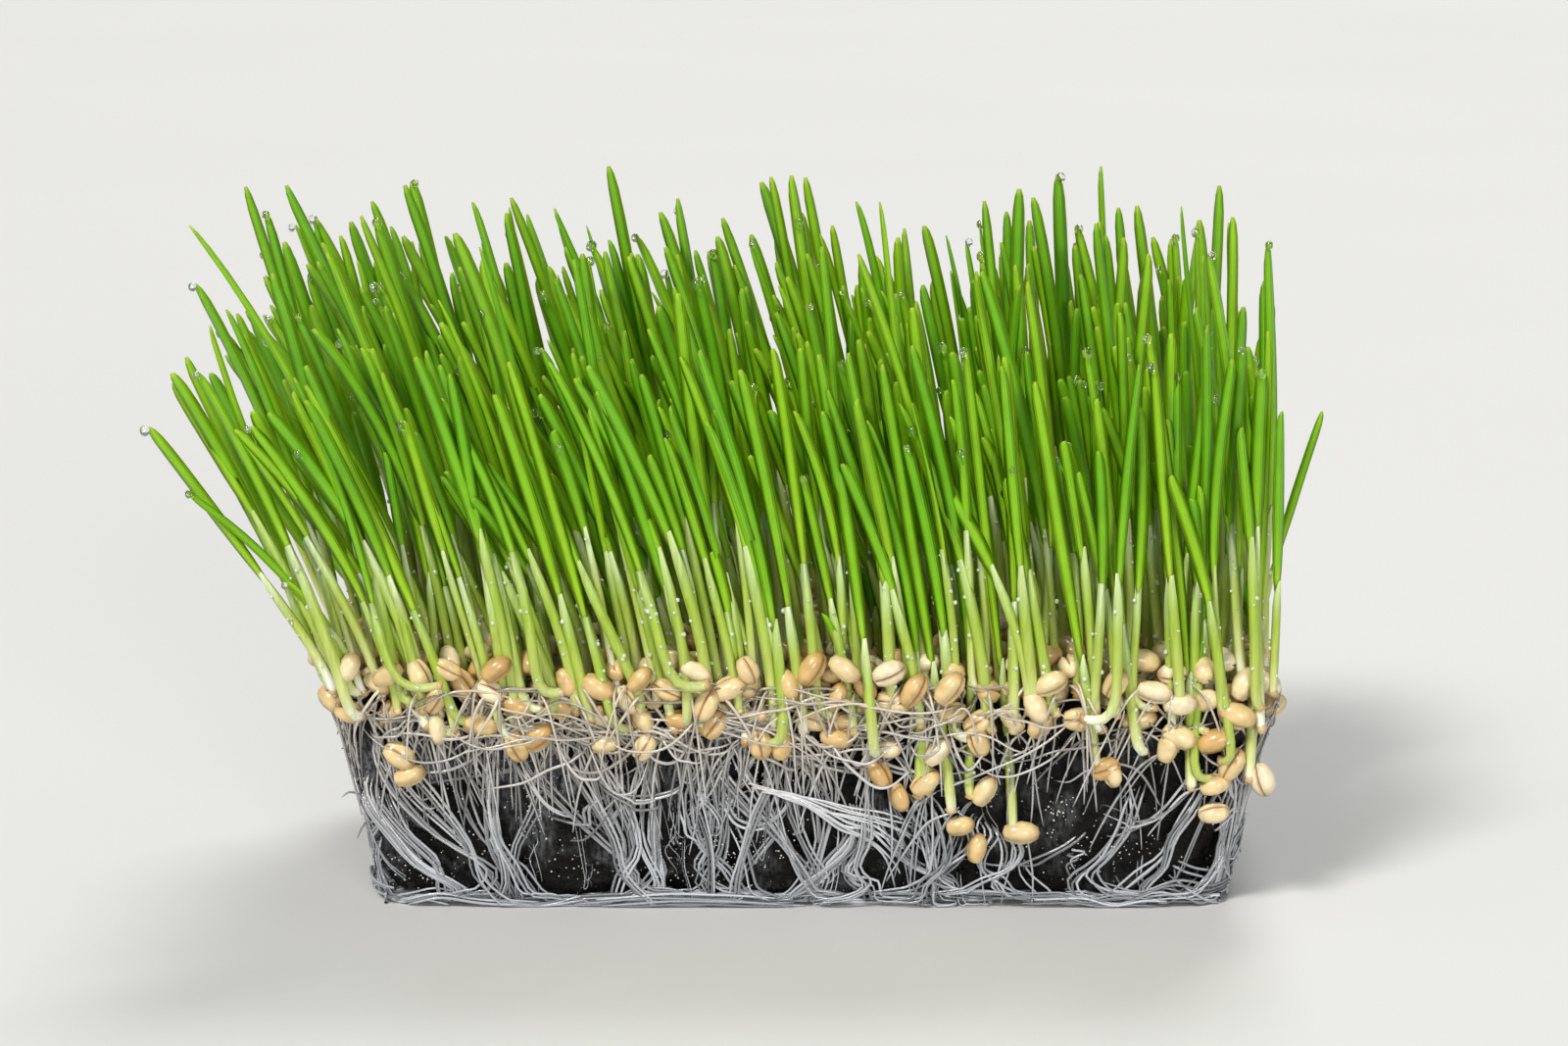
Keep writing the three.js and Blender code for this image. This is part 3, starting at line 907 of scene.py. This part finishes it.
# Crown roots: the first roots of each kernel, thicker and beige. They wind between the kernels
# and over the rim before they turn down the sides, and tie the bed together.
def crown_knots(dice, count, run, fall, out=(0.2, 1.6)):
    """Roots that start between the kernels, cross the rim and turn down the side."""
    start = dice.uniform(*run, count)
    drift = dice.uniform(-14, 14, count)
    over = dice.uniform(*out, count)
    drop = dice.uniform(*fall, count)
    lift = dice.uniform(0, 2.5, count)
    knots = [
        (start, 47.5 + lift, -dice.uniform(3, 10, count)),
        (start + drift * 0.25, 48.2 + lift, over - 2.5),
        (start + drift * 0.5, 45 + lift * 0.5, over),
        (start + drift * 0.8, 45 - drop * 0.5, over * 0.8),
        (start + drift, 45 - drop, over * 0.3),
    ]
    return np.array(knots).transpose(2, 0, 1)


def tangle_knots(dice, count, run, height, out=(0.2, 2.4)):
    """Roots that wind to and fro along the rim, over the kernels."""
    start = dice.uniform(*run, count)
    reach = dice.uniform(7, 26, count) * np.where(dice.random(count) < 0.5, -1, 1)
    level = dice.uniform(*height, count)
    slope = dice.normal(-3, 4.5, count)
    bend = dice.normal(0, 4.2, count)
    over = dice.uniform(*out, count)
    wobble = dice.normal(0, 0.35, (6, count))
    knots = [(start + reach * t,
              np.minimum(level + slope * t + bend * math.sin(math.pi * t) + wobble[k], 50),
              over - 3 * abs(2 * t - 1) ** 4) for k, t in enumerate(np.linspace(0, 1, 6))]
    return np.array(knots).transpose(2, 0, 1)


dice = np.random.default_rng(81)
other_run = (96, AROUND / MM - 96)
CROWN_ROOTS = (
    # how they wind, roots, run, fall or height, radius, and how far out if over the kernels
    (crown_knots, 50, (-92, 30), (4, 16), (0.3, 0.43)),
    (crown_knots, 10, (30, 92), (4, 12), (0.28, 0.4)),
    (crown_knots, 150, other_run, (4, 18), (0.25, 0.36)),
    (tangle_knots, 84, (-74, 26), (36, 48), (0.3, 0.43)),
    (tangle_knots, 18, (20, 92), (38, 48), (0.25, 0.35)),
    (tangle_knots, 70, other_run, (38, 48), (0.25, 0.35)),
    (crown_knots, 44, (-78, 72), (8, 24), (0.26, 0.4), (2.4, 4.2)),
    (tangle_knots, 40, (-64, 40), (38, 49), (0.26, 0.4), (2.4, 4.2)),
)
crown = [root_batch(knots(dice, count, run, span, *out), dice.uniform(*radius, count), dice,
                    tone=(0.55, 1.1) if out else (0, 1))
         for knots, count, run, span, radius, *out in CROWN_ROOTS]
crown_roots = joined_copies("crown_roots", crown, [root_skin])
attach(crown_roots, "root")

# Roots between the kernels on top of the bed: short loops that show where the shoots part.
# They are the same threads as at the sides, and their ends go down into the bed.
count = 650
bed_half = np.array([rim_high.x - 0.004, rim_high.y - 0.004])
start = dice.uniform(-1, 1, (count, 2)) * bed_half
heading = dice.uniform(0, math.tau, count)
reach = dice.uniform(4, 14, count) * MM
way = np.stack([np.cos(heading), np.sin(heading)], axis=1)
stations = np.linspace(0, 1, ROOT_STATIONS)
loops = np.empty((count, ROOT_STATIONS, 3))
loops[..., :2] = start[:, None] + way[:, None] * reach[:, None, None] * stations[None, :, None]
loops[..., :2] += np.sin(stations * 5 + dice.uniform(0, 6, (count, 1)))[..., None] * 0.8 * MM
loops[..., :2] = np.clip(loops[..., :2], -bed_half, bed_half)
loops[..., 2] = 48 * MM + np.sin(stations * math.pi) * dice.uniform(0.5, 4.5, (count, 1)) * MM
widths = np.full((count, ROOT_STATIONS), 1.0) * dice.uniform(0.18, 0.3, (count, 1)) * MM
marks = new_marks(count, root_points, dice.random((count, 1)))
loop_copies = laid_along(root_points, loops, widths, np.tile(THREAD_FACING, (count, 1)))
bed_roots = joined_copies("bed_roots", [(loop_copies, root_faces, marks, 0)], [root_skin])
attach(bed_roots, "root")

# Floor roots: the felt under the block, pressed flat by the tray's floor, mostly along its length.
# The block stands on them.
count = 420
start = dice.uniform(-1, 1, (count, 2)) * np.array([86, 44]) * MM
heading = dice.normal(0, 0.5, count) + np.where(dice.random(count) < 0.5, 0, math.pi)
reach = dice.uniform(25, 80, count) * MM
bend = dice.normal(0, 0.8, count)
turn = heading[:, None] + bend[:, None] * stations[None]
step = reach[:, None] / ROOT_STATIONS
mat = np.empty((count, ROOT_STATIONS, 3))
mat[..., 0] = np.clip(start[:, :1] + np.cumsum(np.cos(turn) * step, axis=1), -0.0885, 0.0885)
mat[..., 1] = np.clip(start[:, 1:] + np.cumsum(np.sin(turn) * step, axis=1), -0.0455, 0.0455)
mat[..., 2] = dice.uniform(0.35, 2.4, (count, 1)) * MM
widths = np.full((count, ROOT_STATIONS), 1.0) * dice.uniform(0.24, 0.36, (count, 1)) * MM
marks = new_marks(count, root_points, dice.random((count, 1)))
mat_copies = laid_along(root_points, mat, widths, np.tile([0, 0.1, 1], (count, 1)))
floor_roots = joined_copies("floor_roots", [(mat_copies, root_faces, marks, 0)], [root_skin])
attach(floor_roots, "root")


# Shoots: each kernel sends up one round sheath, white at the foot and pale green above, and a
# folded leaf pushes out of its slanted top. All the shoots lean to the left, towards the light.
SHEATH_PROFILE = (0.75, 0.85, 0.93, 0.97, 1.0, 1.0, 1.0, 0.98, 0.95, 0.7)
LEAF_PROFILE = (0.42, 0.6, 0.78, 0.9, 1.0, 1.0, 1.0, 0.98, 0.95, 0.85, 0.62, 0.27)
LEAF_STATIONS = np.array((0, 0.07, 0.16, 0.27, 0.39, 0.51, 0.62, 0.73, 0.84, 0.925, 0.973, 1.0))


def profiled_master(name, sides, profile):
    """A prism whose rings follow the profile, each ring extruded and then resized."""
    bpy.ops.object.select_all(action="DESELECT")
    bpy.ops.mesh.primitive_circle_add(vertices=sides, radius=profile[0], fill_type="NGON")
    prism = just_added(name)
    bpy.ops.object.mode_set(mode="EDIT")
    bpy.ops.mesh.select_all(action="SELECT")
    for before, wide in zip(profile, profile[1:]):
        bpy.ops.mesh.extrude_region_move(TRANSFORM_OT_translate={"value": (0, 0, 1)})
        bpy.ops.transform.resize(value=(wide / before, wide / before, 1))
    bpy.ops.mesh.select_all(action="SELECT")
    bpy.ops.mesh.normals_make_consistent(inside=False)
    leave_edit()
    return prism


sheath = profiled_master("sheath_master", 6, SHEATH_PROFILE)
sheath_top = len(SHEATH_PROFILE) - 1
move_where(sheath, lambda co: co.z > sheath_top - 0.5 and co.x < 0, (0, 0, -0.55))
sheath_points, sheath_faces = master_of(sheath)

leaf = profiled_master("leaf_master", 4, LEAF_PROFILE)
leaf_top = len(LEAF_PROFILE) - 1
resize_where(leaf, lambda co: True, (1, 0.15, 1))
for station, wide in enumerate(LEAF_PROFILE):
    move_where(leaf, lambda co: abs(co.z - station) < 0.1 and abs(co.x) > wide * 0.5, (0, 0.5 * wide, 0))
leaf_points, leaf_faces = master_of(leaf)


def shoot_lines(feet, tips, hooks, shape, shares):
    """Points at these shares of the way up each shoot: hooked at the foot, leaning above."""
    along = shares[..., None]
    lean, sway, droop = shape
    rise = (tips - feet)[:, None]
    length = np.linalg.norm(rise, axis=2, keepdims=True)
    lines = feet[:, None] + rise * along
    lines[..., :2] = feet[:, None, :2] + rise[..., :2] * along ** lean
    swing = np.linalg.norm(hooks, axis=1)[:, None, None]
    curl = 1 - np.exp(-along * length / (1.4 * MM + 0.36 * swing))
    lines[..., :2] += hooks[:, None] * curl * (1 - along) ** 2
    lines[..., 2:] -= swing * 0.72 * curl * (1 - along)
    lines[..., :2] += sway * np.sin(along * math.pi) * length
    lines[..., 2:] -= droop * length * along ** 5
    return lines


def shoot_batches(feet, tips, dice, hook_size=4.0, girth=(1.0, 1.0), greenness=0.0, turn=0.45,
                  hooks=None):
    """Sheath and leaf copies for shoots with these feet and tips, in metres. Girth is how stout
    the sheaths and the leaves are, and turn is how far the leaves face away from the front."""
    count = len(feet)
    heading = np.where(dice.random(count) < 0.7, math.pi + dice.normal(0, 0.6, count),
                       dice.uniform(0, math.tau, count))
    hook = dice.uniform(-0.4, 1, count).clip(0) * hook_size * MM
    if hooks is None:
        hooks = np.stack([np.cos(heading), np.sin(heading)], axis=1) * hook[:, None]
    shape = (dice.uniform(1.1, 1.7, (count, 1, 1)), dice.normal(0, 0.016, (count, 1, 2)),
             dice.uniform(0, 1, (count, 1, 1)) ** 4 * 0.05)
    length = np.linalg.norm(tips - feet, axis=1)
    sheath_share = np.clip(dice.uniform(24, 44, count) * MM / length, 0.2, 0.62)[:, None]
    facing = dice.normal(0, turn, count)
    facing = np.stack([np.cos(facing), np.sin(facing), np.zeros(count)], axis=1)
    stations = (np.arange(len(SHEATH_PROFILE)) / sheath_top) ** 2.2
    sheath_paths = shoot_lines(feet, tips, hooks, shape, stations * sheath_share)
    sheath_wide = np.ones((count, len(SHEATH_PROFILE))) * dice.uniform(0.84, 1.12, (count, 1)) * MM
    sheath_wide *= girth[0]
    sheaths = laid_along(sheath_points, sheath_paths, sheath_wide, facing)
    marks = new_marks(count, sheath_points, dice.uniform(greenness, 1, (count, 1)),
                      (sheath_points[:, 2].clip(0) / sheath_top) ** 2.2, sheath_points[:, 0])
    batches = [(sheaths, sheath_faces, marks, 0)]
    leaf_start = sheath_share * 0.9
    leaf_paths = shoot_lines(feet, tips, hooks, shape, leaf_start + (1 - leaf_start) * LEAF_STATIONS)
    leaf_wide = np.ones((count, len(LEAF_STATIONS))) * dice.uniform(1.15, 1.65, (count, 1)) * MM
    leaf_wide *= girth[1]
    twist = dice.normal(0, turn, (count, 1)) * LEAF_STATIONS
    leaves = laid_along(leaf_points, leaf_paths, leaf_wide, facing, twist)
    marks = new_marks(count, leaf_points, dice.random((count, 1)), leaf_points[:, 2] / leaf_top,
                      leaf_points[:, 0])
    batches.append((leaves, leaf_faces, marks, 1))
    sheath_lines.append(sheath_paths)
    leaf_lines.append(leaf_paths)
    return batches


sheath_lines, leaf_lines = [], []

sheath_skin, tree, shader = new_finish("sheath_skin", 0.36, Subsurface_Weight=0.25,
                                       Subsurface_Scale=0.0008)
shader.inputs["Subsurface Radius"].default_value = (1.0, 1.0, 0.5)
marks = marks_of(tree, 1700, 0.86, 1.1, 0.05)
shifted = math_node(tree, "ADD", marks["Along"], rescale(tree, marks["Tone"], 0, 1, -0.15, 0.3))
skin = ramp(tree, shifted, (0.0, (0.96, 0.95, 0.88)), (0.08, (0.86, 0.89, 0.66)),
            (0.2, (0.62, 0.66, 0.27)), (0.42, (0.45, 0.54, 0.11)), (0.85, (0.34, 0.49, 0.04)))
paler = math_node(tree, "MULTIPLY", rescale(tree, marks["Along"], 0.62, 1.0, 0.0, 0.8),
                  rescale(tree, marks["Tone"], 0.2, 0.9, 1.0, 0.3))
skin = blended(tree, paler, skin, (0.74, 0.83, 0.58))
skin = dimmed(tree, skin, marks["Mottle"])
tree.links.new(skin, shader.inputs["Base Color"])
bumped(tree, shader, marks["Mottle"], 0.25 * MM, 0.6)

leaf_skin, tree, shader = new_finish("leaf_skin", 0.42, Subsurface_Weight=0.25,
                                     Subsurface_Scale=0.001, Specular_IOR_Level=0.35)
shader.inputs["Subsurface Radius"].default_value = (0.8, 1.0, 0.2)
marks = marks_of(tree, 160, -0.08, 0.08)
young = ramp(tree, marks["Along"], (0.0, (0.42, 0.58, 0.06)), (0.16, (0.31, 0.55, 0.012)),
             (0.55, (0.24, 0.5, 0.005)), (0.92, (0.25, 0.5, 0.006)), (1.0, (0.37, 0.55, 0.03)))
deep = ramp(tree, marks["Along"], (0.0, (0.32, 0.55, 0.03)), (0.2, (0.19, 0.46, 0.005)),
            (0.6, (0.13, 0.39, 0.004)), (0.92, (0.15, 0.41, 0.005)), (1.0, (0.28, 0.47, 0.02)))
green = blended(tree, rescale(tree, marks["Tone"], 0.15, 0.85, 0.0, 1.0), deep, young)
veins = math_node(tree, "SINE", math_node(tree, "MULTIPLY", marks["Across"], 26.0))
value = math_node(tree, "ADD", rescale(tree, veins, -1, 1, 0.91, 1.06), marks["Mottle"])
green = dimmed(tree, green, value)
tree.links.new(green, shader.inputs["Base Color"])
bumped(tree, shader, veins, 0.06 * MM, 0.5)


LOWEST_TIP = 0.09
CROWN_FLOOR = 0.0488


def tuft_facts(node):
    """The middle of a CAD tuft's crown, and the tips of its shoots, in metres."""
    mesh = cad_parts[node].data
    spots = [tuple(round(c, 5) for c in vertex.co) for vertex in mesh.vertices]
    tallest_beside = {}
    for face in mesh.polygons:
        corners = [spots[i] for i in face.vertices]
        for corner in corners:
            beside = max((other[2] for other in corners if other != corner), default=0)
            tallest_beside[corner] = max(beside, tallest_beside.get(corner, 0))
    tips = [spot for spot, beside in tallest_beside.items() if spot[2] > beside and spot[2] > LOWEST_TIP]
    foot = [spot for spot in tallest_beside if spot[2] < CROWN_FLOOR]
    return np.mean(foot, axis=0), np.array(sorted(tips))


TUFTS = 50
SHOOTS_PER_TUFT = 14
CELL = Vector((10.3, 12.2)) * MM
foot_limit = np.array([rim_high.x - 0.0005, rim_high.y - 0.0005])
for k in range(TUFTS):
    node = f"tuft_{k + 1:02d}"
    dice = np.random.default_rng(200 + k)
    crown_middle, cad_tips = tuft_facts(node)
    count = SHOOTS_PER_TUFT
    offsets = dice.uniform(-1, 1, (count, 2)) * CELL
    offsets[:len(cad_tips)] *= 0.45
    feet = np.column_stack([crown_middle[:2] + offsets, 47.5 * MM + dice.uniform(-1, 1.5, count) * MM])
    feet[:, :2] = np.clip(feet[:, :2], -foot_limit, foot_limit)
    lean = cad_tips[:, :2].mean(0) - crown_middle[:2]
    tips = np.empty((count, 3))
    tips[:len(cad_tips)] = cad_tips
    more = count - len(cad_tips)
    back_share = (feet[len(cad_tips):, 1] + 0.056) / 0.112
    tall = (58 + 20 * back_share + dice.uniform(-16, 12, more)) * MM
    tips[len(cad_tips):, :2] = (feet[len(cad_tips):, :2] + lean * dice.uniform(0.75, 1.2, (more, 1))
                                + dice.normal(0, 4.2, (more, 2)) * MM)
    tips[len(cad_tips):, 2] = feet[len(cad_tips):, 2] + tall
    stunted = dice.random(count) < 0.1
    stunted[:len(cad_tips)] = False
    tips[stunted] = feet[stunted] + (tips[stunted] - feet[stunted]) * dice.uniform(0.3, 0.6)
    shoots = joined_copies(f"shoots_{k + 1:02d}", shoot_batches(feet, tips, dice),
                           [sheath_skin, leaf_skin])
    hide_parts(node)
    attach(shoots, "root")

# The tallest leaves, which stand above the rest, by tip: x, y and height. Each grows from the bed
# as the others do.
TALLEST = np.array((
    (-127, -34, 133), (-121, 5, 147), (-96, 28, 144), (-88, 22, 146), (-65, 30, 142), (-7, 35, 147),
    (12, 30, 144), (51, 20, 143), (57, 28, 147), (70, 20, 142), (75, 30, 140), (88, 20, 138),
    (94, 15, 138), (99, -12, 129)), float) * MM
dice = np.random.default_rng(301)
lean_share = 0.5 - TALLEST[:, 0] / 0.22
feet = TALLEST - np.column_stack([-(3 + 24 * lean_share) * MM, dice.uniform(-3, 3, len(TALLEST)) * MM,
                                  TALLEST[:, 2] - 48 * MM])
feet[:, :2] = np.clip(feet[:, :2], -foot_limit, foot_limit)
tall_leaves = joined_copies("tallest_shoots", shoot_batches(feet, TALLEST, dice, turn=0.3),
                            [sheath_skin, leaf_skin])
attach(tall_leaves, "root")

# Front shoots: they stand on the rim and on the kernels that slipped down the front side, by
# foot x and height, and tip x, y and height.
FRONT_SHOOTS = np.array((
    (-72, 40, -116, -60, 105), (-80, 47, -104, -58, 112), (-79, 45, -101, -62, 118),
    (-60, 46, -79, -60, 121), (-56, 41, -72, -60, 116), (-44, 43, -63, -61, 112),
    (-36, 41, -60, -60, 119), (-21, 41, -42, -61, 116), (-12, 38, -27, -60, 110),
    (-7, 38, -21, -60, 121), (0, 40, -13, -61, 117), (15, 36, 3, -60, 120),
    (26, 27, 5, -60, 113), (31, 23, 16, -60, 118), (24, 26, 12, -60, 105),
    (35, 26, 22, -61, 122), (44, 18, 33, -62, 122), (48, 44, 40, -60, 119),
    (61, 33, 47, -60, 116), (62, 41, 60, -61, 101), (71, 36, 57, -60, 121),
    (81, 28, 70, -60, 124), (85, 30, 82, -60, 126), (87, 34, 87, -60, 119),
    (93, 30, 94, -60, 127), (95, 41, 93, -60, 117), (78, 47, 71, -60, 118)), float)
# Shoots that came out of their kernels downwards and turned up again in a wide hook. A sixth
# number says how far the hook swings aside.
HOOKED_SHOOTS = np.array(((-75, 51.5, -104, -58, 116, -10), (58, 44, 68, -60, 118, 8),
                          (-20, 51.5, -52, -58, 118, -8), (-50, 50, -74, -58, 112, -6)), float)
dice = np.random.default_rng(311)
count = 34
foot_x = np.linspace(-90, 93, count) + dice.uniform(-2.5, 2.5, count)
lean = 5 + 27 * (0.5 - foot_x / 190) ** 1.3 + dice.normal(0, 4, count)
rim_shoots = np.column_stack([foot_x, dice.uniform(38.5, 46, count), foot_x - lean,
                              dice.uniform(-62, -54, count), dice.uniform(92, 124, count)])
front_rows = np.concatenate([FRONT_SHOOTS, rim_shoots, HOOKED_SHOOTS[:, :5]])


def on_front(rows, out):
    """Feet off the front side, from rows that start with x and height, and the tips, in metres."""
    depth = -HALF_DEEP - out - SIDE_LEAN * rows[:, 1] / SIDE_TALL
    return np.column_stack([rows[:, 0], depth, rows[:, 1]]) * MM, rows[:, 2:5] * MM


hooked = len(HOOKED_SHOOTS)
hooks = np.column_stack([HOOKED_SHOOTS[:, 5], np.full(hooked, -1.5)]) * MM
feet, tips = on_front(front_rows[:-hooked], 1.2)
front_batches = shoot_batches(feet, tips, dice, 6.0, (1.18, 1.05), 0.35)
feet, tips = on_front(HOOKED_SHOOTS, 4.5)
front_batches += shoot_batches(feet, tips, dice, 0.0, (1.15, 1), 0.4, hooks=hooks)
front_shoots = joined_copies("front_shoots", front_batches, [sheath_skin, leaf_skin])
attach(front_shoots, "root")

# The kernel that each of them stands on, and the roots that spread down from it. The roots cling
# to the front side like the rest of the felt.
count = len(front_rows)
beside = front_rows[:, :2] + np.column_stack([dice.uniform(1, 3.4, count), dice.uniform(-2.2, 0.8, count)])
free = spaced(on_side(beside[:, 0] * MM, beside[:, 1] * MM, 1 * MM), KERNEL_GAP)
company = [lain_on_front(x, height, dice.uniform(-80, 80), dice) for x, height in beside[free]]
front_kernels = joined_copies("front_kernels", company, [kernel_coat])
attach(front_kernels, "root")

strands = np.where(front_rows[:, 0] < 34, 4, 2)
start = np.repeat(front_rows[:, :2], strands, axis=0)
start = start + dice.normal(0, 0.5, start.shape)
count = len(start)
aside = dice.normal(0, 7, count)
fall = dice.uniform(10, 26, count)
over = dice.uniform(0.2, 1.0, count)
knots = [(start[:, 0] + aside * t ** 0.7, np.maximum(start[:, 1] - fall * t ** 1.4, 0.8), over + 0.4 - t)
         for t in (0, 0.25, 0.5, 0.75, 1)]
knots = np.array(knots).transpose(2, 0, 1)
seedling_roots = joined_copies("seedling_roots", [root_batch(knots, dice.uniform(0.24, 0.36, count), dice)],
                               [root_skin])
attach(seedling_roots, "root")

# One shoot has come away at the right-hand end and leans out on its own.
# It has a sheath and a leaf like the rest, both thinner, and replaces a solid of its own.
low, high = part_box("outer_shoot")
feet = np.array([[low.x + 0.001, (low.y + high.y) / 2, low.z - 0.001]])
tips = np.array([[high.x, low.y + 0.0005, high.z]])
loner = joined_copies("leaning_shoot", shoot_batches(feet, tips, dice, 1.0, (0.9, 0.65)),
                      [sheath_skin, leaf_skin])
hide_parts("outer_shoot")
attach(loner, "root")

# Germs: the brown, knobbly end that each kernel opened with, still round the foot of its shoot.
# It has the kernel's finish near its dark end, and is a piece of its own at the foot of the shoot.
bpy.ops.object.select_all(action="DESELECT")
bpy.ops.mesh.primitive_ico_sphere_add(subdivisions=1, radius=1)
germ = just_added("germ_master")
resize_where(germ, lambda co: co.z > 0.3, (0.75, 0.75, 1.3))
germ_points, germ_faces = master_of(germ)
dice = np.random.default_rng(331)
germ_places = np.concatenate(sheath_lines)[:, 0]
count = len(germ_places)
turns = np.column_stack([dice.normal(0, 0.8, (count, 2)), dice.uniform(0, math.tau, count)])
germs = turned(germ_points * dice.uniform(0.85, 1.35, (count, 1, 3)), turns) * 1.15 * MM
germs += germ_places[:, None]
marks = new_marks(count, germ_points, dice.uniform(0.1, 0.8, (count, 1)),
                  dice.uniform(0.8, 0.97, (count, 1)))
germ_layer = joined_copies("opened_germs", [(germs, germ_faces, marks, 0)], [kernel_coat])
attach(germ_layer, "root")


# Dew: drops of clear water that the leaves press out at their tips, and beads that cling to the
# sheaths. They only sit on the plants.
def drop_master(name, segments, ring_count, sag):
    """A drop one unit in radius that sags a little."""
    bpy.ops.object.select_all(action="DESELECT")
    bpy.ops.mesh.primitive_uv_sphere_add(segments=segments, ring_count=ring_count, radius=1)
    drop = just_added(name)
    resize_where(drop, lambda co: co.z < -0.1, (1.04, 1.04, sag), center_override=(0, 0, 0))
    return master_of(drop)


# The beads are milky and pale green-white, not clear: a painted glint that stands in for the bright highlights
# of clear water drops and the sheath seen through them.
dew_with_painted_glint, tree, shader = new_finish("dew_with_painted_glint", 0.04, Transmission_Weight=0.35, IOR=1.36,
                                    Coat_Weight=1.0, Coat_Roughness=0.03)
tree.links.new(ramp(tree, noise(tree, 900), (0.35, (0.78, 0.9, 0.66)), (0.65, (0.95, 0.98, 0.92))),
               shader.inputs["Base Color"])
water, tree, shader = new_finish("water", 0.0, Transmission_Weight=1.0, IOR=1.36, Coat_Weight=1.0,
                                 Coat_Roughness=0.02)
tint = ramp(tree, noise(tree, 50), (0.3, (0.97, 0.98, 0.98)), (0.7, (1.0, 1.0, 1.0)))
tree.links.new(tint, shader.inputs["Base Color"])

dice = np.random.default_rng(401)
sheath_paths = np.concatenate(sheath_lines)
leaf_paths = np.concatenate(leaf_lines)
bead_points, bead_faces = drop_master("bead_master", 6, 4, 1.0)
count = 3200
picks = dice.integers(0, len(sheath_paths), count)
shares = dice.uniform(3.5, 8.9, count)
below = shares.astype(int)
spots = (sheath_paths[picks, below] * (1 - (shares - below))[:, None]
         + sheath_paths[picks, below + 1] * (shares - below)[:, None])
bearing = np.where(dice.random(count) < 0.5, dice.uniform(-2.4, -0.7, count),
                   dice.uniform(0, math.tau, count))
spots[:, 0] += np.cos(bearing) * 1.1 * MM
spots[:, 1] += np.sin(bearing) * 1.1 * MM
sizes = dice.uniform(0.22, 0.58, count)[:, None, None] * MM
beads = bead_points[None] * sizes + spots[:, None]
bead_layer = joined_copies("dew_beads", [(beads, bead_faces, np.zeros(3), 0)], [dew_with_painted_glint])
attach(bead_layer, "root")

tip_points, tip_faces = drop_master("drop_master", 12, 8, 1.25)
count = 190
picks = dice.choice(len(leaf_paths), count, replace=False)
at_tip = dice.random(count) < 0.7
station = np.where(at_tip, leaf_top, dice.integers(4, leaf_top, count))
aside = np.where(at_tip, dice.uniform(-0.7, 0.7, count), dice.uniform(-0.9, 0.9, count)) * MM
spots = leaf_paths[picks, station] + np.column_stack([aside, np.full(count, -0.7 * MM),
                                                      np.where(at_tip, -0.4 * MM, 0)])
sizes = dice.uniform(0.65, 1.2, count)[:, None, None] * MM
drops = tip_points[None] * sizes + spots[:, None]
drop_layer = joined_copies("dew_drops", [(drops, tip_faces, np.zeros(3), 0)], [water])
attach(drop_layer, "root")


low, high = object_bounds()
